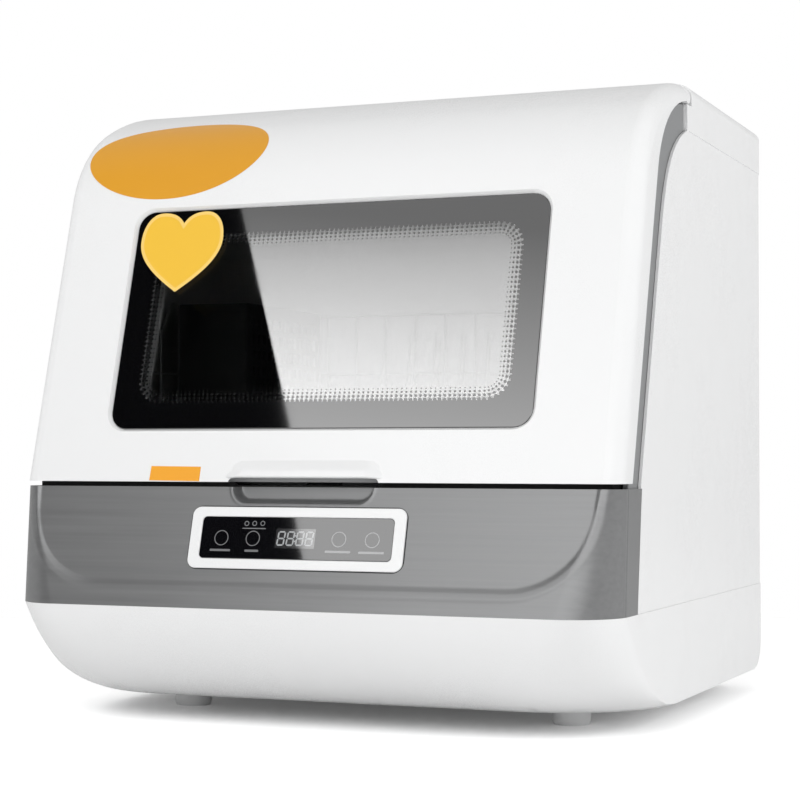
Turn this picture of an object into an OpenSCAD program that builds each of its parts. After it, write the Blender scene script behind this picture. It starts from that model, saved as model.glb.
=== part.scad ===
/* [Case] */
// Width over the side walls
case_w = 430; // [420:1:440]
// Height of the top cover above the counter
case_h = 444; // [442:0.5:446]
// Rear face of the case, measured back from the centre
rear_y = 212; // [208:1:214]
// Foremost line of the front, where base and band meet
toe_y = -222.5; // [-224:0.5:-221]
// Backward lean of the front, per millimetre of height
front_lean = 0.275; // [0.27:0.005:0.28]
// Clear height under the base
foot_h = 16; // [12:1:20]
// Top of the base tray
base_top = 82; // [80:1:84]
// Top of the grey band
band_top = 160; // [159:0.5:160]
// Underside of the top cover
seam_z = 409; // [408.5:0.5:409.5]
// Thickness of a moulded wall
wall = 2.6; // [2.2:0.1:3]

/* [Door] */
// Lower edge of the door
door_z = 162; // [162:0.5:163]
// Radius of the door's rolled side edges
door_r = 12; // [11:1:14]
// Radius of the brow, where the front turns into the crown
brow_r = 88; // [86:1:90]
// Radius of the crown over the door
crown_r = 205; // [200:5:210]
// Width of the window glass
glass_w = 306; // [296:2:310]
// Height of the window glass, measured along the slope
glass_h = 160; // [154:2:162]
// Height above the counter of the glass's lower edge
glass_z = 201; // [199:1:203]
// Depth of the glass below the door's face
glass_sink = 2.2; // [1:0.2:3]

/* [Tub] */
// Inner width of the tub
tub_w = 367; // [360:1:367]
// Height of the tub floor
tub_floor = 170.5; // [170:0.5:172]
// Rear face of the tub
tub_back = 138; // [134:1:139]
// Half length of the spray arm
arm_r = 132; // [120:1:134]
// Diameter of the basket's wires
wire_d = 3; // [2.6:0.2:3.4]

/* [Hidden] */
$fn = 48;
half_w = case_w / 2;
slim = 2.2;
fascia_wall = 3;
fascia_front = 7.5;
bottom_r = 22;
front_a = 90 - atan(front_lean);
slope = sqrt(1 + front_lean * front_lean);
panel_x = half_w - 0.6;
rear_r = 12;
hinge_r = 7.5;
hinge_y = -29.5;
hinge_z = case_h - 8.5;
pin_r = 3;
pin_gap = 0.06;
hinge_x = 156;
eye_w = 12;
tub_x = tub_w / 2 + 2.5;
spray_y = 2;
filter_y = -78;
filter_r = 28;
tank_y = tub_back + 4;
rail_z = 200;
basket_z = rail_z + 7.8;
basket_x = 176;
basket_front = -130;
basket_back = tub_back - 10;
rim_z = 298;
step_z = 277;
low_z = 218;

white = [0.93, 0.93, 0.92];
satin = [0.52, 0.53, 0.54];
dark = [0.12, 0.12, 0.13];
steel = [0.72, 0.73, 0.74];
rubber = [0.30, 0.31, 0.32];
clear = [0.35, 0.42, 0.45, 0.5];
moulded = [0.82, 0.83, 0.84];
board = [0.10, 0.38, 0.22];

// ---- curves of the side view: points are [y, z] ----

function front_y(z) = toe_y + front_lean * (z - base_top);

function bezier(p, t) = pow(1 - t, 3) * p[0] + 3 * t * pow(1 - t, 2) * p[1]
    + 3 * t * t * (1 - t) * p[2] + pow(t, 3) * p[3];

function curve(p, n) = [for (i = [0:n]) bezier(p, i / n)];

function arc(c, r, a0, a1, n) = [for (i = [0:n]) let (a = a0 + (a1 - a0) * i / n) c + r * [cos(a), sin(a)]];

function tangent(p, i) = let (a = p[max(i - 1, 0)], b = p[min(i + 1, len(p) - 1)]) (b - a) / norm(b - a);

// Moves a line that climbs backwards into the body by d, square to itself.
function shift(p, d) = [for (i = [0:len(p) - 1]) let (t = tangent(p, i)) p[i] + d * [t[1], -t[0]]];

// Where a climbing line reaches height z.
function line_y(p, z) = lookup(z, [for (q = p) [q[1], q[0]]]);

function reverse(p) = [for (i = [len(p) - 1:-1:0]) p[i]];

// Front edge of the side panels, from the base up to the cover seam.
case_line = concat([[-162, base_top], [-158.6, 118], [-150.9, 164]],
    curve([[-99, 332], [-85.4, 376], [-68.5, 396.2], [-30.5, seam_z]], 10));

// Rear edge of the door flange, run on past both ends.
flange_line = concat([[-187, 120]],
    curve([[-110.6, 371], [-101.9, 399.7], [-76.3, 423], [-32.7, case_h - 14.8]], 10),
    [[0, case_h - 11]]);

// Outer side view of the door: straight front, brow, crown.
brow_z = 366;
brow_start = [front_y(brow_z), brow_z];
brow_c = brow_start + brow_r * [sin(front_a), -cos(front_a)];
brow_end = brow_c + brow_r * [cos(118), sin(118)];
crown_c = brow_end - crown_r * [cos(118), sin(118)];

// Stations along the door's outer line: [y, z, direction of the outward normal].
function stations(c, r, a0, a1, n) = [for (i = [0:n]) let (a = a0 + (a1 - a0) * i / n)
    [c[0] + r * cos(a), c[1] + r * sin(a), a]];

door_stations = concat([[front_y(door_z - 20), door_z - 20, 90 + front_a]],
    stations(brow_c, brow_r, 90 + front_a, 118, 14), stations(crown_c, crown_r, 115, 94, 7));
door_depth = 48;

// Half-open section of the door, rolled at both sides: [x, depth below the face].
function door_section(inset) = concat([[inset - half_w, door_depth]],
    arc([door_r - half_w, door_r], door_r - inset, 180, 270, 7),
    arc([half_w - door_r, door_r], door_r - inset, 270, 360, 7), [[half_w - inset, door_depth]]);

function door_ring(at, inset) = [for (q = door_section(inset))
    [q[0], at[0] - q[1] * cos(at[2]), at[1] - q[1] * sin(at[2])]];

// Rounds of the base and band in plan: front line and corner radius at a height.
base_arc_c = [-127, 113];
base_arc_r = norm([toe_y, base_top] - base_arc_c);

function base_front(z, inset) = base_arc_c[0] - sqrt(pow(base_arc_r - inset, 2) - pow(z - base_arc_c[1], 2));

function base_rear(z, inset) = z >= foot_h + bottom_r ? rear_y - inset
    : rear_y - bottom_r + sqrt(max(0, pow(bottom_r - inset, 2) - pow(foot_h + bottom_r - z, 2)));

function corner_r(z) = z < base_top ? 38 + (base_top - z) * 0.45 : 38 - (z - base_top) * 0.29;

// Case plan at one height, from the front right corner round to the front left.
function plan_ring(z, front, rear, inset) = let (r = corner_r(z), x = half_w - rear_r)
    [for (q = concat(arc([half_w - r, front + r - inset], r - inset, -90, 0, 10),
        arc([x, rear - rear_r + inset], rear_r - inset, 0, 90, 5),
        arc([-x, rear - rear_r + inset], rear_r - inset, 90, 180, 5),
        arc([r - half_w, front + r - inset], r - inset, 180, 270, 10))) [q[0], q[1], z]];

// Heights that part the base's rounded front evenly.
function base_heights(z0, n) = let (a0 = asin((z0 - base_arc_c[1]) / base_arc_r), a1 = asin((base_top - base_arc_c[1]) / base_arc_r))
    [for (i = [0:n]) base_arc_c[1] + base_arc_r * sin(a0 + (a1 - a0) * i / n)];

// ---- helpers ----

// Extrudes a side view across the case, centred on the middle plane.
module across(w) rotate([90, 0, 90]) translate([0, 0, -w / 2]) linear_extrude(w) children();

// Extrudes a side view between two positions across the case.
module across_from(x0, x1) rotate([90, 0, 90]) translate([0, 0, x0]) linear_extrude(x1 - x0) children();

// Local frame on the leaning front: x across, y up the slope, z outwards.
module on_front(z) translate([0, front_y(z), z]) rotate([front_a, 0, 0]) children();

module rounded_rect(w, h, r) {
    square([w - 2 * r, h], center = true);
    square([w, h - 2 * r], center = true);
    for (sx = [-1, 1], sy = [-1, 1]) translate([sx * (w / 2 - r), sy * (h / 2 - r)]) circle(r);
}

// Box from one corner to the other.
module box(a, b) translate(a) cube(b - a);

// Round bar between two points.
module rod(a, b, r) {
    v = b - a;
    l = norm(v);
    translate(a) rotate([0, acos(v[2] / l), atan2(v[1], v[0])]) cylinder(h = l, r = r);
}

// Round pipe through a list of points, with ball corners.
module pipe(points, r) {
    for (i = [0:len(points) - 2]) rod(points[i], points[i + 1], r);
    for (i = [1:1:len(points) - 2]) translate(points[i]) sphere(r);
}

module x_cylinder(x0, x1, r) translate([x0, 0, 0]) rotate([0, 90, 0]) cylinder(h = x1 - x0, r = r);

module y_cylinder(y0, y1, r) translate([0, y0, 0]) rotate([-90, 0, 0]) cylinder(h = y1 - y0, r = r);

// Solid through rings of equal length, each counter-clockwise seen from the last one's side.
module loft(rings) {
    n = len(rings[0]);
    top = (len(rings) - 1) * n;
    polyhedron(points = [for (ring = rings, p = ring) p], faces = concat(
        [[for (i = [0:n - 1]) i]],
        [[for (i = [n - 1:-1:0]) top + i]],
        [for (k = [0:n:top - n], i = [0:n - 1]) [k + i, k + n + i, k + n + (i + 1) % n]],
        [for (k = [0:n:top - n], i = [0:n - 1]) [k + i, k + n + (i + 1) % n, k + (i + 1) % n]]));
}

module plan_outline(inset) difference() {
    translate([0, (rear_y - 400) / 2]) rounded_rect(2 * (half_w - inset), rear_y + 400 - 2 * inset, rear_r - inset);
    translate([0, -400]) square([1000, 400], center = true);
}

// ---- base ----

foot_spots = [[-145, -78], [145, -78], [-145, 165], [145, 165]];

module base_tray() color(white) difference() {
    union() {
        difference() {
            loft([for (z = base_heights(foot_h, 14)) plan_ring(z, base_front(z, 0), base_rear(z, 0), 0)]);
            loft([for (z = concat(base_heights(foot_h + wall, 13), [base_top + 1]))
                plan_ring(z, base_front(z, wall), base_rear(z, wall), wall)]);
        }
        for (p = foot_spots) translate([p[0], p[1], foot_h + 1]) cylinder(h = 12, r = 11);
        for (x = [92, 140], y = [-105, -45]) translate([x, y, foot_h + 1]) cylinder(h = 66, r = 4);
        for (x = [-108, -72]) translate([x, filter_y, foot_h + 1]) cylinder(h = 74, r = 4);
        for (x = [115, 185], y = [35, 125]) translate([x, y, foot_h + 1]) cylinder(h = 9, r = 3.5);
        for (y = [-60, 60, 150]) box([-100, y, foot_h + 1], [100, y + 2, foot_h + 12]);
        for (x = [-60, 0, 60]) box([x, -60, foot_h + 1], [x + 2, 150, foot_h + 12]);
    }
    for (p = foot_spots) translate([p[0], p[1], foot_h - 1]) cylinder(h = 8, r = 5);
    for (i = [0:6]) translate([-180 + i * 9, 40, foot_h - 1]) linear_extrude(6) rounded_rect(4, 60, 1.9);
}

module foot(i) color(rubber) translate([foot_spots[i][0], foot_spots[i][1], 0]) {
    cylinder(h = 3, r1 = 12.3, r2 = 13.3);
    translate([0, 0, 3]) cylinder(h = foot_h - 3, r = 13.3);
    translate([0, 0, foot_h]) cylinder(h = 6, r = 5);
}

// ---- front band and controls ----

bezel_z = 128.35;
bezel_x = -1.5;
bezel_w = 153.8;
bezel_h = 41.6;
screen_w = 137.4;
screen_h = 28.2;

// Local frame in the middle of the control panel.
module on_panel() on_front(bezel_z) translate([bezel_x, 0, 0]) children();

// Outline of the sunk field, open at the top of the band: r is its corner radius, top its half width there.
function smile(r, top, z) = let (a = atan((top - 145 - r) / 40))
    [for (q = concat([[top, 40], [-top, 40]], arc([-145, 0], r, 180 + a, 270, 9), arc([145, 0], r, 270, 360 - a, 9)))
        [q[0], q[1], z]];

module front_fascia() color(satin) difference() {
    intersection() {
        union() {
            difference() {
                loft([for (z = [base_top, band_top]) plan_ring(z, front_y(z), 0, 0)]);
                loft([for (z = [base_top - 2, band_top - 3]) plan_ring(z, front_y(z) + fascia_front, 0, fascia_wall)]);
            }
            // Pocket wall for the fingertips.
            across(124) polygon([[front_y(141) + 4, 141], [front_y(band_top - 1) + 4, band_top - 1],
                [front_y(band_top) + 28, band_top - 1], [front_y(band_top) + 28, 149], [front_y(band_top) + 20, 141]]);
        }
        across(500) polygon([case_line[0] - [0, 5], case_line[0], case_line[1], case_line[2], [-400, case_line[2][1]],
            [-400, base_top - 5]]);
    }
    on_front(151.6) loft([smile(46.6, 199, -3.5), smile(61.3, 208, 1)]);
    on_panel() translate([0, 0, -12]) linear_extrude(20) rounded_rect(bezel_w - 8, bezel_h - 8, 4);
    hull() for (s = [-1, 1]) translate([s * 37, front_y(band_top) + 7, band_top + 4]) scale([1, 1.25, 1]) sphere(13, $fn = 32);
}

module control_bezel() color(white) on_panel() difference() {
    union() {
        translate([0, 0, -3.5]) linear_extrude(3.5) rounded_rect(bezel_w, bezel_h, 6);
        translate([0, 0, -9]) linear_extrude(6) rounded_rect(bezel_w - 8.2, bezel_h - 8.2, 3.9);
    }
    translate([0, 0, -1.2]) linear_extrude(3) rounded_rect(screen_w + 0.2, screen_h + 0.2, 3.1);
    translate([0, 0, -20]) linear_extrude(30) rounded_rect(screen_w - 5, screen_h - 5, 2);
}

// Smoked panel, thinned from behind over the display.
module control_panel() color(dark) on_panel() difference() {
    translate([0, 0, -1.2]) linear_extrude(1) rounded_rect(screen_w, screen_h, 3);
    translate([0, 0, -2]) linear_extrude(1.2) square([30, 15], center = true);
}

module display_module() color(dark) on_panel() translate([0, 0, -6.4]) {
    linear_extrude(5.6) square([29, 14], center = true);
    translate([0, 0, -1]) linear_extrude(1) square([34, 19], center = true);
}

module touch_board() color(board) on_panel() {
    translate([0, 0, -9]) linear_extrude(1.6) square([screen_w - 6, screen_h - 6], center = true);
    for (x = [-53.6, -30.6, 31.2, 54.6]) translate([x, 0, -7.4]) cylinder(h = 6.2, r = 5.5);
    translate([38, -2, -13]) linear_extrude(4) square([22, 8], center = true);
}

// ---- case walls ----

module side_panel(s) color(white) mirror([s < 0 ? 1 : 0, 0, 0]) intersection() {
    across(600) polygon(concat(case_line, [[300, seam_z], [300, base_top]]));
    linear_extrude(500) intersection() {
        difference() {
            plan_outline(0.6);
            plan_outline(0.6 + slim);
        }
        translate([200, -300]) square([100, 600]);
    }
}

spigot_z = 120;
inlet_x = -155;
drain_x = -105;
pocket_depth = 16;
fan_x = 135;
gland = [165, 100];

module vent_rows(x, z, w, count) for (i = [0:count - 1]) translate([x, 0, z + i * 7]) rotate([90, 0, 0])
    linear_extrude(60, center = true) rounded_rect(w, 3, 1.4);

module rear_panel() color(white) difference() {
    union() {
        box([-199.8, rear_y - 0.6 - slim, base_top], [199.8, rear_y - 0.6, seam_z]);
        box([-187, rear_y - pocket_depth - 2, 90], [-73, rear_y - 0.6, 152]);
    }
    box([-185, rear_y - pocket_depth, 92], [-75, rear_y + 1, 150]);
    translate([inlet_x, 0, spigot_z]) y_cylinder(150, 260, 15);
    translate([drain_x, 0, spigot_z]) y_cylinder(150, 260, 11);
    translate([gland[0], 0, gland[1]]) y_cylinder(150, 260, 8);
    translate([0, rear_y, 0]) {
        vent_rows(fan_x, 150, 56, 7);
        vent_rows(30, 95, 70, 6);
    }
}

lid_x = -80;
lid_w = 90;
lid_front = 116;
lid_back = 178;
lid_axis_y = lid_back - 3;
lid_axis_z = case_h - 2.4;

// Side view of the cover, inset by t.
function cover_side(t) = concat([[-18.5 + t, case_h - t], [-18.5 + t, case_h - 16.4 - t], [-30.5 + t, case_h - 16.4 - t],
    [-30.5 + t, seam_z - (t > 0 ? 9 : 0)], [rear_y - t, seam_z - (t > 0 ? 9 : 0)]],
    arc([rear_y - 22, case_h - 22], 22 - t, 0, 90, 10));

module cover_body(t) intersection() {
    across(2 * half_w - 2 * t) polygon(cover_side(t));
    linear_extrude(500) plan_outline(t);
    rotate([90, 0, 0]) linear_extrude(600, center = true) translate([0, case_h / 2 - 0.001])
        rounded_rect(2 * half_w - 2 * t, case_h - 2 * t, 10 - t);
}

module top_cover() color(white) difference() {
    cover_body(0);
    cover_body(2.5);
    for (s = [-1, 1]) box([s * hinge_x - 8, -40, case_h - 20], [s * hinge_x + 8, -10, case_h - 5]);
    box([hinge_x + 8, -40, case_h - 20], [hinge_x + 36, -10, case_h - 5]);
    translate([lid_x, (lid_front + lid_back) / 2, case_h - 10])
        linear_extrude(20) rounded_rect(lid_w, lid_back - lid_front, 8);
    // Square rear corners, so that the lid's corners clear as it turns.
    box([lid_x - lid_w / 2, lid_back - 12, case_h - 10], [lid_x + lid_w / 2, lid_back, case_h + 1]);
}

// The lid's rear edge is its hinge barrel, so it turns clear of the cover.
module fill_lid() color(white) difference() {
    union() {
        translate([lid_x, (lid_front + lid_back) / 2, case_h - 2.5])
            linear_extrude(2.5) rounded_rect(lid_w - 1.2, lid_back - lid_front - 1.2, 7.4);
        translate([lid_x, lid_axis_y, lid_axis_z]) x_cylinder(-35, 35, 2.4);
        translate([lid_x, lid_axis_y, lid_axis_z]) x_cylinder(-40, 40, 1.2);
        translate([lid_x, (lid_front + lid_back) / 2 - 4, case_h - 5]) linear_extrude(3) difference() {
            rounded_rect(lid_w - 14, lid_back - lid_front - 22, 6);
            rounded_rect(lid_w - 17, lid_back - lid_front - 25, 4.5);
        }
    }
    // Square-cut rear edge behind the barrel, and notches for the ears.
    difference() {
        box([lid_x - 50, lid_axis_y, case_h - 3], [lid_x + 50, lid_back + 2, case_h + 1]);
        translate([lid_x, lid_axis_y, lid_axis_z]) x_cylinder(-35, 35, 2.4);
    }
    for (s = [-1, 1]) difference() {
        box([lid_x + s * 37.5 - 2.5, lid_back - 9, case_h - 3], [lid_x + s * 37.5 + 2.5, lid_back + 2, case_h + 1]);
        translate([lid_x, lid_axis_y, lid_axis_z]) x_cylinder(-40, 40, 1.2);
    }
    translate([lid_x, lid_front, case_h + 6]) scale([1.6, 1, 1]) sphere(9);
}

module fill_funnel() color(moulded) {
    difference() {
        union() {
            translate([lid_x, (lid_front + lid_back) / 2, case_h - 14])
                linear_extrude(11.4) rounded_rect(lid_w + 6, lid_back - lid_front + 6, 10);
            hull() {
                translate([lid_x, (lid_front + lid_back) / 2, case_h - 14])
                    linear_extrude(0.1) rounded_rect(lid_w + 6, lid_back - lid_front + 6, 10);
                translate([lid_x, 168, 402]) cylinder(h = 0.1, r = 18);
            }
            translate([lid_x, 168, 392]) cylinder(h = 10.1, r = 18);
        }
        translate([lid_x, (lid_front + lid_back) / 2, case_h - 14.1])
            linear_extrude(20) rounded_rect(lid_w + 1, lid_back - lid_front + 1, 8);
        hull() {
            translate([lid_x, (lid_front + lid_back) / 2, case_h - 14])
                linear_extrude(0.1) rounded_rect(lid_w + 1, lid_back - lid_front + 1, 8);
            translate([lid_x, 168, 402]) cylinder(h = 0.1, r = 15.5);
        }
        translate([lid_x, 168, 380]) cylinder(h = 23, r = 15.5);
    }
    // Ears that hold the lid's axle.
    for (s = [-1, 1]) difference() {
        box([lid_x + s * 37.5 - 1.7, lid_back - 7, case_h - 14], [lid_x + s * 37.5 + 1.7, lid_back - 0.2, case_h - 0.4]);
        translate([lid_x + s * 37.5, lid_axis_y, lid_axis_z]) x_cylinder(-3, 3, 1.2 + pin_gap);
    }
}

// ---- opening frame, tub and seal ----

sill_z = 176;
frame_depth = 28;
tub_top = 402;

module opening_frame() color(satin) difference() {
    intersection() {
        across(2 * (half_w - 3)) polygon(concat(shift(flange_line, 1.5), reverse(shift(flange_line, frame_depth))));
        box([-300, -300, band_top], [300, -30.8, 500]);
    }
    // Rebate for the seal.
    across(2 * (half_w - 7)) polygon(concat(shift(flange_line, -20), reverse(shift(flange_line, 6.5))));
    box([-tub_x - 0.1, -300, sill_z], [tub_x + 0.1, 0, tub_top + 0.1]);
    // The cheeks are hollow from behind.
    for (s = [-1, 1]) across_from(s > 0 ? tub_x + 3 : 6 - half_w, s > 0 ? half_w - 6 : -tub_x - 3)
        intersection() {
            polygon(concat(shift(flange_line, 9.5), reverse(shift(flange_line, 60))));
            translate([-300, sill_z]) square([300, 225]);
        }
    box([-13, -300, 162.8], [13, -154, 169.6]);
}

// Side view of the tub, inset by t; the front is left open when t is above zero.
function tub_side(t) = let (seal = shift(flange_line, 6.8), back = shift(flange_line, frame_depth + 0.2),
    floor_z = tub_floor - 2.5 + t, lip_z = sill_z + 0.2 + t)
    concat([[line_y(back, floor_z) + t, floor_z], [line_y(back, lip_z) + t, lip_z]],
    t > 0 ? [[-300, lip_z], [-300, tub_top - t]]
        : concat([[line_y(seal, lip_z), lip_z]], [for (p = seal) if (p[1] > lip_z + 1 && p[1] < tub_top - 1) p],
            [[line_y(seal, tub_top), tub_top]]),
    [[tub_back - t, tub_top - t], [tub_back - t, floor_z]]);

duct_z = 300;

module tub() color(steel) difference() {
    across(2 * tub_x) polygon(tub_side(0));
    across(2 * tub_x - 5) polygon(tub_side(2.5));
    translate([0, filter_y, 160]) cylinder(h = 20, r = 44);
    translate([0, spray_y, 160]) cylinder(h = 20, r = 7);
    translate([fan_x, 0, duct_z]) y_cylinder(tub_back - 10, tub_back + 10, 14);
}

module tub_gasket() color(rubber) difference() {
    intersection() {
        across(2 * 197) polygon(concat(shift(flange_line, -0.6), reverse(shift(flange_line, 6.5))));
        box([-300, -300, 170], [300, -36, 500]);
    }
    box([-tub_x - 2, -300, 175], [tub_x + 2, -46, 500]);
}

module basket_rails() color(moulded) for (s = [-1, 1]) mirror([s < 0 ? 1 : 0, 0, 0]) {
    box([171, -118, rail_z], [tub_x - 2.5, tub_back - 4, rail_z + 3]);
    box([tub_x - 5, -118, rail_z + 3], [tub_x - 2.5, tub_back - 4, rail_z + 16]);
    for (y = [-100, 0, 110]) box([174, y, rail_z - 8], [tub_x - 2.5, y + 3, rail_z]);
}

// ---- water circuit ----

module sump() color(moulded) {
    difference() {
        union() {
            translate([0, filter_y, 112]) cylinder(h = 56, r = 47);
            translate([0, filter_y, 163]) cylinder(h = 5, r = 58);
            translate([0, filter_y, 126]) x_cylinder(40, 64, 13);
            translate([0, filter_y, 126]) x_cylinder(-64, -40, 11);
        }
        translate([0, filter_y, 115]) cylinder(h = 60, r = 44);
        translate([0, filter_y, 126]) x_cylinder(30, 70, 10);
        translate([0, filter_y, 126]) x_cylinder(-70, -30, 8);
    }
}

module filter_plate() color(steel) difference() {
    translate([0, filter_y, tub_floor]) cylinder(h = 2, r = 52);
    translate([0, filter_y, tub_floor - 1]) cylinder(h = 4, r = filter_r + pin_gap);
    for (ring = [0:2], i = [0:23 + 4 * ring]) translate([0, filter_y, tub_floor - 1])
        rotate([0, 0, i * 360 / (24 + 4 * ring)]) translate([33.5 + 5.5 * ring, 0, 0]) cylinder(h = 4, r = 1.5, $fn = 8);
}

module filter_cylinder() color(moulded) translate([0, filter_y, 0]) {
    difference() {
        translate([0, 0, 128]) cylinder(h = 46.5, r = filter_r);
        translate([0, 0, 130]) cylinder(h = 50, r = filter_r - 2);
        for (k = [0:2], i = [0:7]) translate([0, 0, 136 + 11 * k]) rotate([0, 0, i * 45])
            translate([filter_r - 4, -6, 0]) cube([8, 12, 6]);
    }
    for (a = [0, 90]) rotate([0, 0, a]) box([-filter_r + 1, -1.5, 168], [filter_r - 1, 1.5, 171]);
    translate([0, 0, 168]) cylinder(h = 9, r = 7);
    box([-17, -2, 171], [17, 2, 177]);
}

module spray_pivot() color(moulded) translate([0, spray_y, 0]) difference() {
    union() {
        translate([0, 0, tub_floor]) cylinder(h = 5, r = 19);
        translate([0, 0, 162]) cylinder(h = 31, r = 6.9);
        translate([0, 0, tub_floor]) cylinder(h = 22, r = 8);
    }
    translate([0, 0, 160]) cylinder(h = 28, r = 5);
}

module spray_arm() color(moulded) translate([0, spray_y, 0]) difference() {
    union() {
        translate([0, 0, 177]) cylinder(h = 19, r = 15);
        translate([0, 0, 182]) linear_extrude(9) for (s = [-1, 1]) {
            polygon([[0, -14], [s * (arm_r - 12), -9], [s * (arm_r - 12), 9], [0, 14]]);
            translate([s * (arm_r - 12), 0]) scale([4 / 3, 1]) circle(9);
        }
        for (s = [-1, 1]) box([s * 70 - 48, -2, 191], [s * 70 + 48, 2, 192.2]);
    }
    translate([0, 0, 170]) cylinder(h = 23, r = 8 + pin_gap);
    for (s = [-1, 1], x = [34, 58, 82, 106]) translate([s * x, s * 5, 186]) cylinder(h = 8, r = 1.6);
    for (s = [-1, 1]) translate([s * (arm_r - 6), s * 3, 186.5]) rotate([s * 90, 0, 0]) cylinder(h = 12, r = 1.4);
}

module spray_hub_nut() color(dark) translate([0, spray_y, 196]) difference() {
    cylinder(h = 5, r1 = 13, r2 = 11);
    for (i = [0:7]) rotate([0, 0, i * 45]) translate([14, 0, -1]) cylinder(h = 8, r = 2.6);
}

module wash_pump() color(dark) {
    translate([0, filter_y, 126]) {
        x_cylinder(64, 92, 34);
        x_cylinder(92, 148, 28);
        x_cylinder(148, 154, 20);
    }
    translate([78, 0, 150]) y_cylinder(filter_y, filter_y + 46, 10);
    for (x = [92, 140], y = [-105, -51]) translate([x, y, foot_h + 67]) cylinder(h = 20, r = 5);
}

module flow_heater() color(steel) translate([0, spray_y, 150]) {
    x_cylinder(18, 64, 15);
    x_cylinder(14, 18, 11);
    x_cylinder(64, 68, 11);
}

module wash_hose() color(rubber) {
    pipe([[78, filter_y + 46, 150], [78, spray_y, 150], [68, spray_y, 150]], 9);
    pipe([[14, spray_y, 150], [0, spray_y, 150], [0, spray_y, 162]], 9);
}

module drain_pump() color(dark) {
    translate([0, filter_y, 126]) {
        x_cylinder(-92, -64, 24);
        x_cylinder(-122, -92, 18);
    }
    translate([-78, 0, spigot_z]) y_cylinder(filter_y, filter_y + 34, 8);
    for (x = [-108, -72]) translate([x, filter_y, foot_h + 75]) cylinder(h = 14, r = 4);
}

module drain_hose() color(rubber) pipe([[-78, filter_y + 34, spigot_z], [-78, 150, spigot_z],
    [drain_x, 150, spigot_z], [drain_x, 182, spigot_z]], 8);

module drain_spigot() color(moulded) translate([drain_x, 0, spigot_z]) {
    y_cylinder(182, -toe_y, 9);
    y_cylinder(rear_y - pocket_depth, rear_y - pocket_depth + 4, 14);
}

module inlet_valve() color(moulded) translate([inlet_x, 0, spigot_z]) {
    y_cylinder(rear_y - pocket_depth - 26, -toe_y, 13.2);
    y_cylinder(rear_y - pocket_depth, rear_y - pocket_depth + 4, 18);
    box([-18, 136, -18], [18, rear_y - pocket_depth - 12, 18]);
    box([-12, 142, 18], [12, 166, 30]);
}

module fill_hose() color(rubber) pipe([[inlet_x, 160, spigot_z + 30], [inlet_x, 160, 175]], 7);

module tank_hose() color(rubber) pipe([[-34, 160, 175], [-34, 160, 140], [-34, filter_y + 30, 140]], 7);

module water_tank() color(moulded) difference() {
    union() {
        translate([0, 0, 175]) linear_extrude(220) translate([-42.5, (tank_y + 206) / 2])
            rounded_rect(265, 206 - tank_y, 10);
        translate([lid_x, 168, 390]) cylinder(h = 8, r = 21);
    }
    translate([0, 0, 177.5]) linear_extrude(215) translate([-42.5, (tank_y + 206) / 2])
        rounded_rect(260, 201 - tank_y, 7.5);
    translate([lid_x, 168, 385]) cylinder(h = 20, r = 18);
}

// ---- drying air and electrics ----

module drying_fan() color(dark) translate([fan_x, 0, 114]) {
    difference() {
        union() {
            y_cylinder(158, 192, 34);
            box([-2, 158, 0], [34, 192, 40]);
        }
        y_cylinder(186, 200, 22);
    }
    y_cylinder(160, 195, 12);
    for (i = [0:6]) rotate([0, i * 360 / 7, 0]) box([8, 186, -1], [23, 190, 1]);
}

module air_duct() color(moulded) difference() {
    union() {
        box([fan_x - 20, tub_back + 2, 154], [fan_x + 34, tub_back + 54, 175]);
        box([fan_x - 20, tub_back + 2, 154], [fan_x + 34, tub_back + 30, duct_z + 22]);
        translate([fan_x, 0, duct_z]) y_cylinder(tub_back - 2, tub_back + 4, 13.9);
    }
    box([fan_x - 18, tub_back + 4, 156], [fan_x + 32, tub_back + 28, duct_z + 20]);
    translate([fan_x, 0, duct_z]) y_cylinder(tub_back - 10, tub_back + 10, 11.5);
}

module power_board() color(board) {
    box([110, 30, foot_h + 10], [190, 130, foot_h + 11.6]);
    box([118, 40, foot_h + 11.6], [150, 66, foot_h + 36]);
    box([160, 92, foot_h + 11.6], [182, 122, foot_h + 28]);
    for (i = [0:2]) translate([128 + i * 16, 100, foot_h + 11.6]) cylinder(h = 26, r = 6.5);
    for (i = [0:3]) box([160, 40 + i * 11, foot_h + 11.6], [178, 48 + i * 11, foot_h + 24]);
}

module cord_gland() color(dark) translate([gland[0], 0, gland[1]]) difference() {
    union() {
        y_cylinder(rear_y - 14, rear_y - 0.6, 7.9);
        y_cylinder(rear_y - 0.6, rear_y + 3, 12);
        y_cylinder(rear_y - 8, rear_y - 0.6 - slim, 12);
    }
    y_cylinder(rear_y - 20, rear_y + 10, 3.6);
}

// ---- hinge and latch ----

module hinge_bracket(s) color(steel) {
    x0 = s * hinge_x - eye_w / 2;
    x1 = s * hinge_x + eye_w / 2;
    difference() {
        union() {
            translate([0, hinge_y, hinge_z]) x_cylinder(x0, x1, 6.5);
            box([x0, hinge_y + 2, hinge_z - 5], [x1, -2, hinge_z + 3]);
            box([x0, -8, tub_top], [x1, -2, hinge_z + 3]);
            box([x0 - 10, -22, tub_top], [x1 + 10, 20, tub_top + 2.5]);
        }
        translate([0, hinge_y, hinge_z]) x_cylinder(x0 - 5, x1 + 5, pin_r + pin_gap);
    }
}

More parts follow.
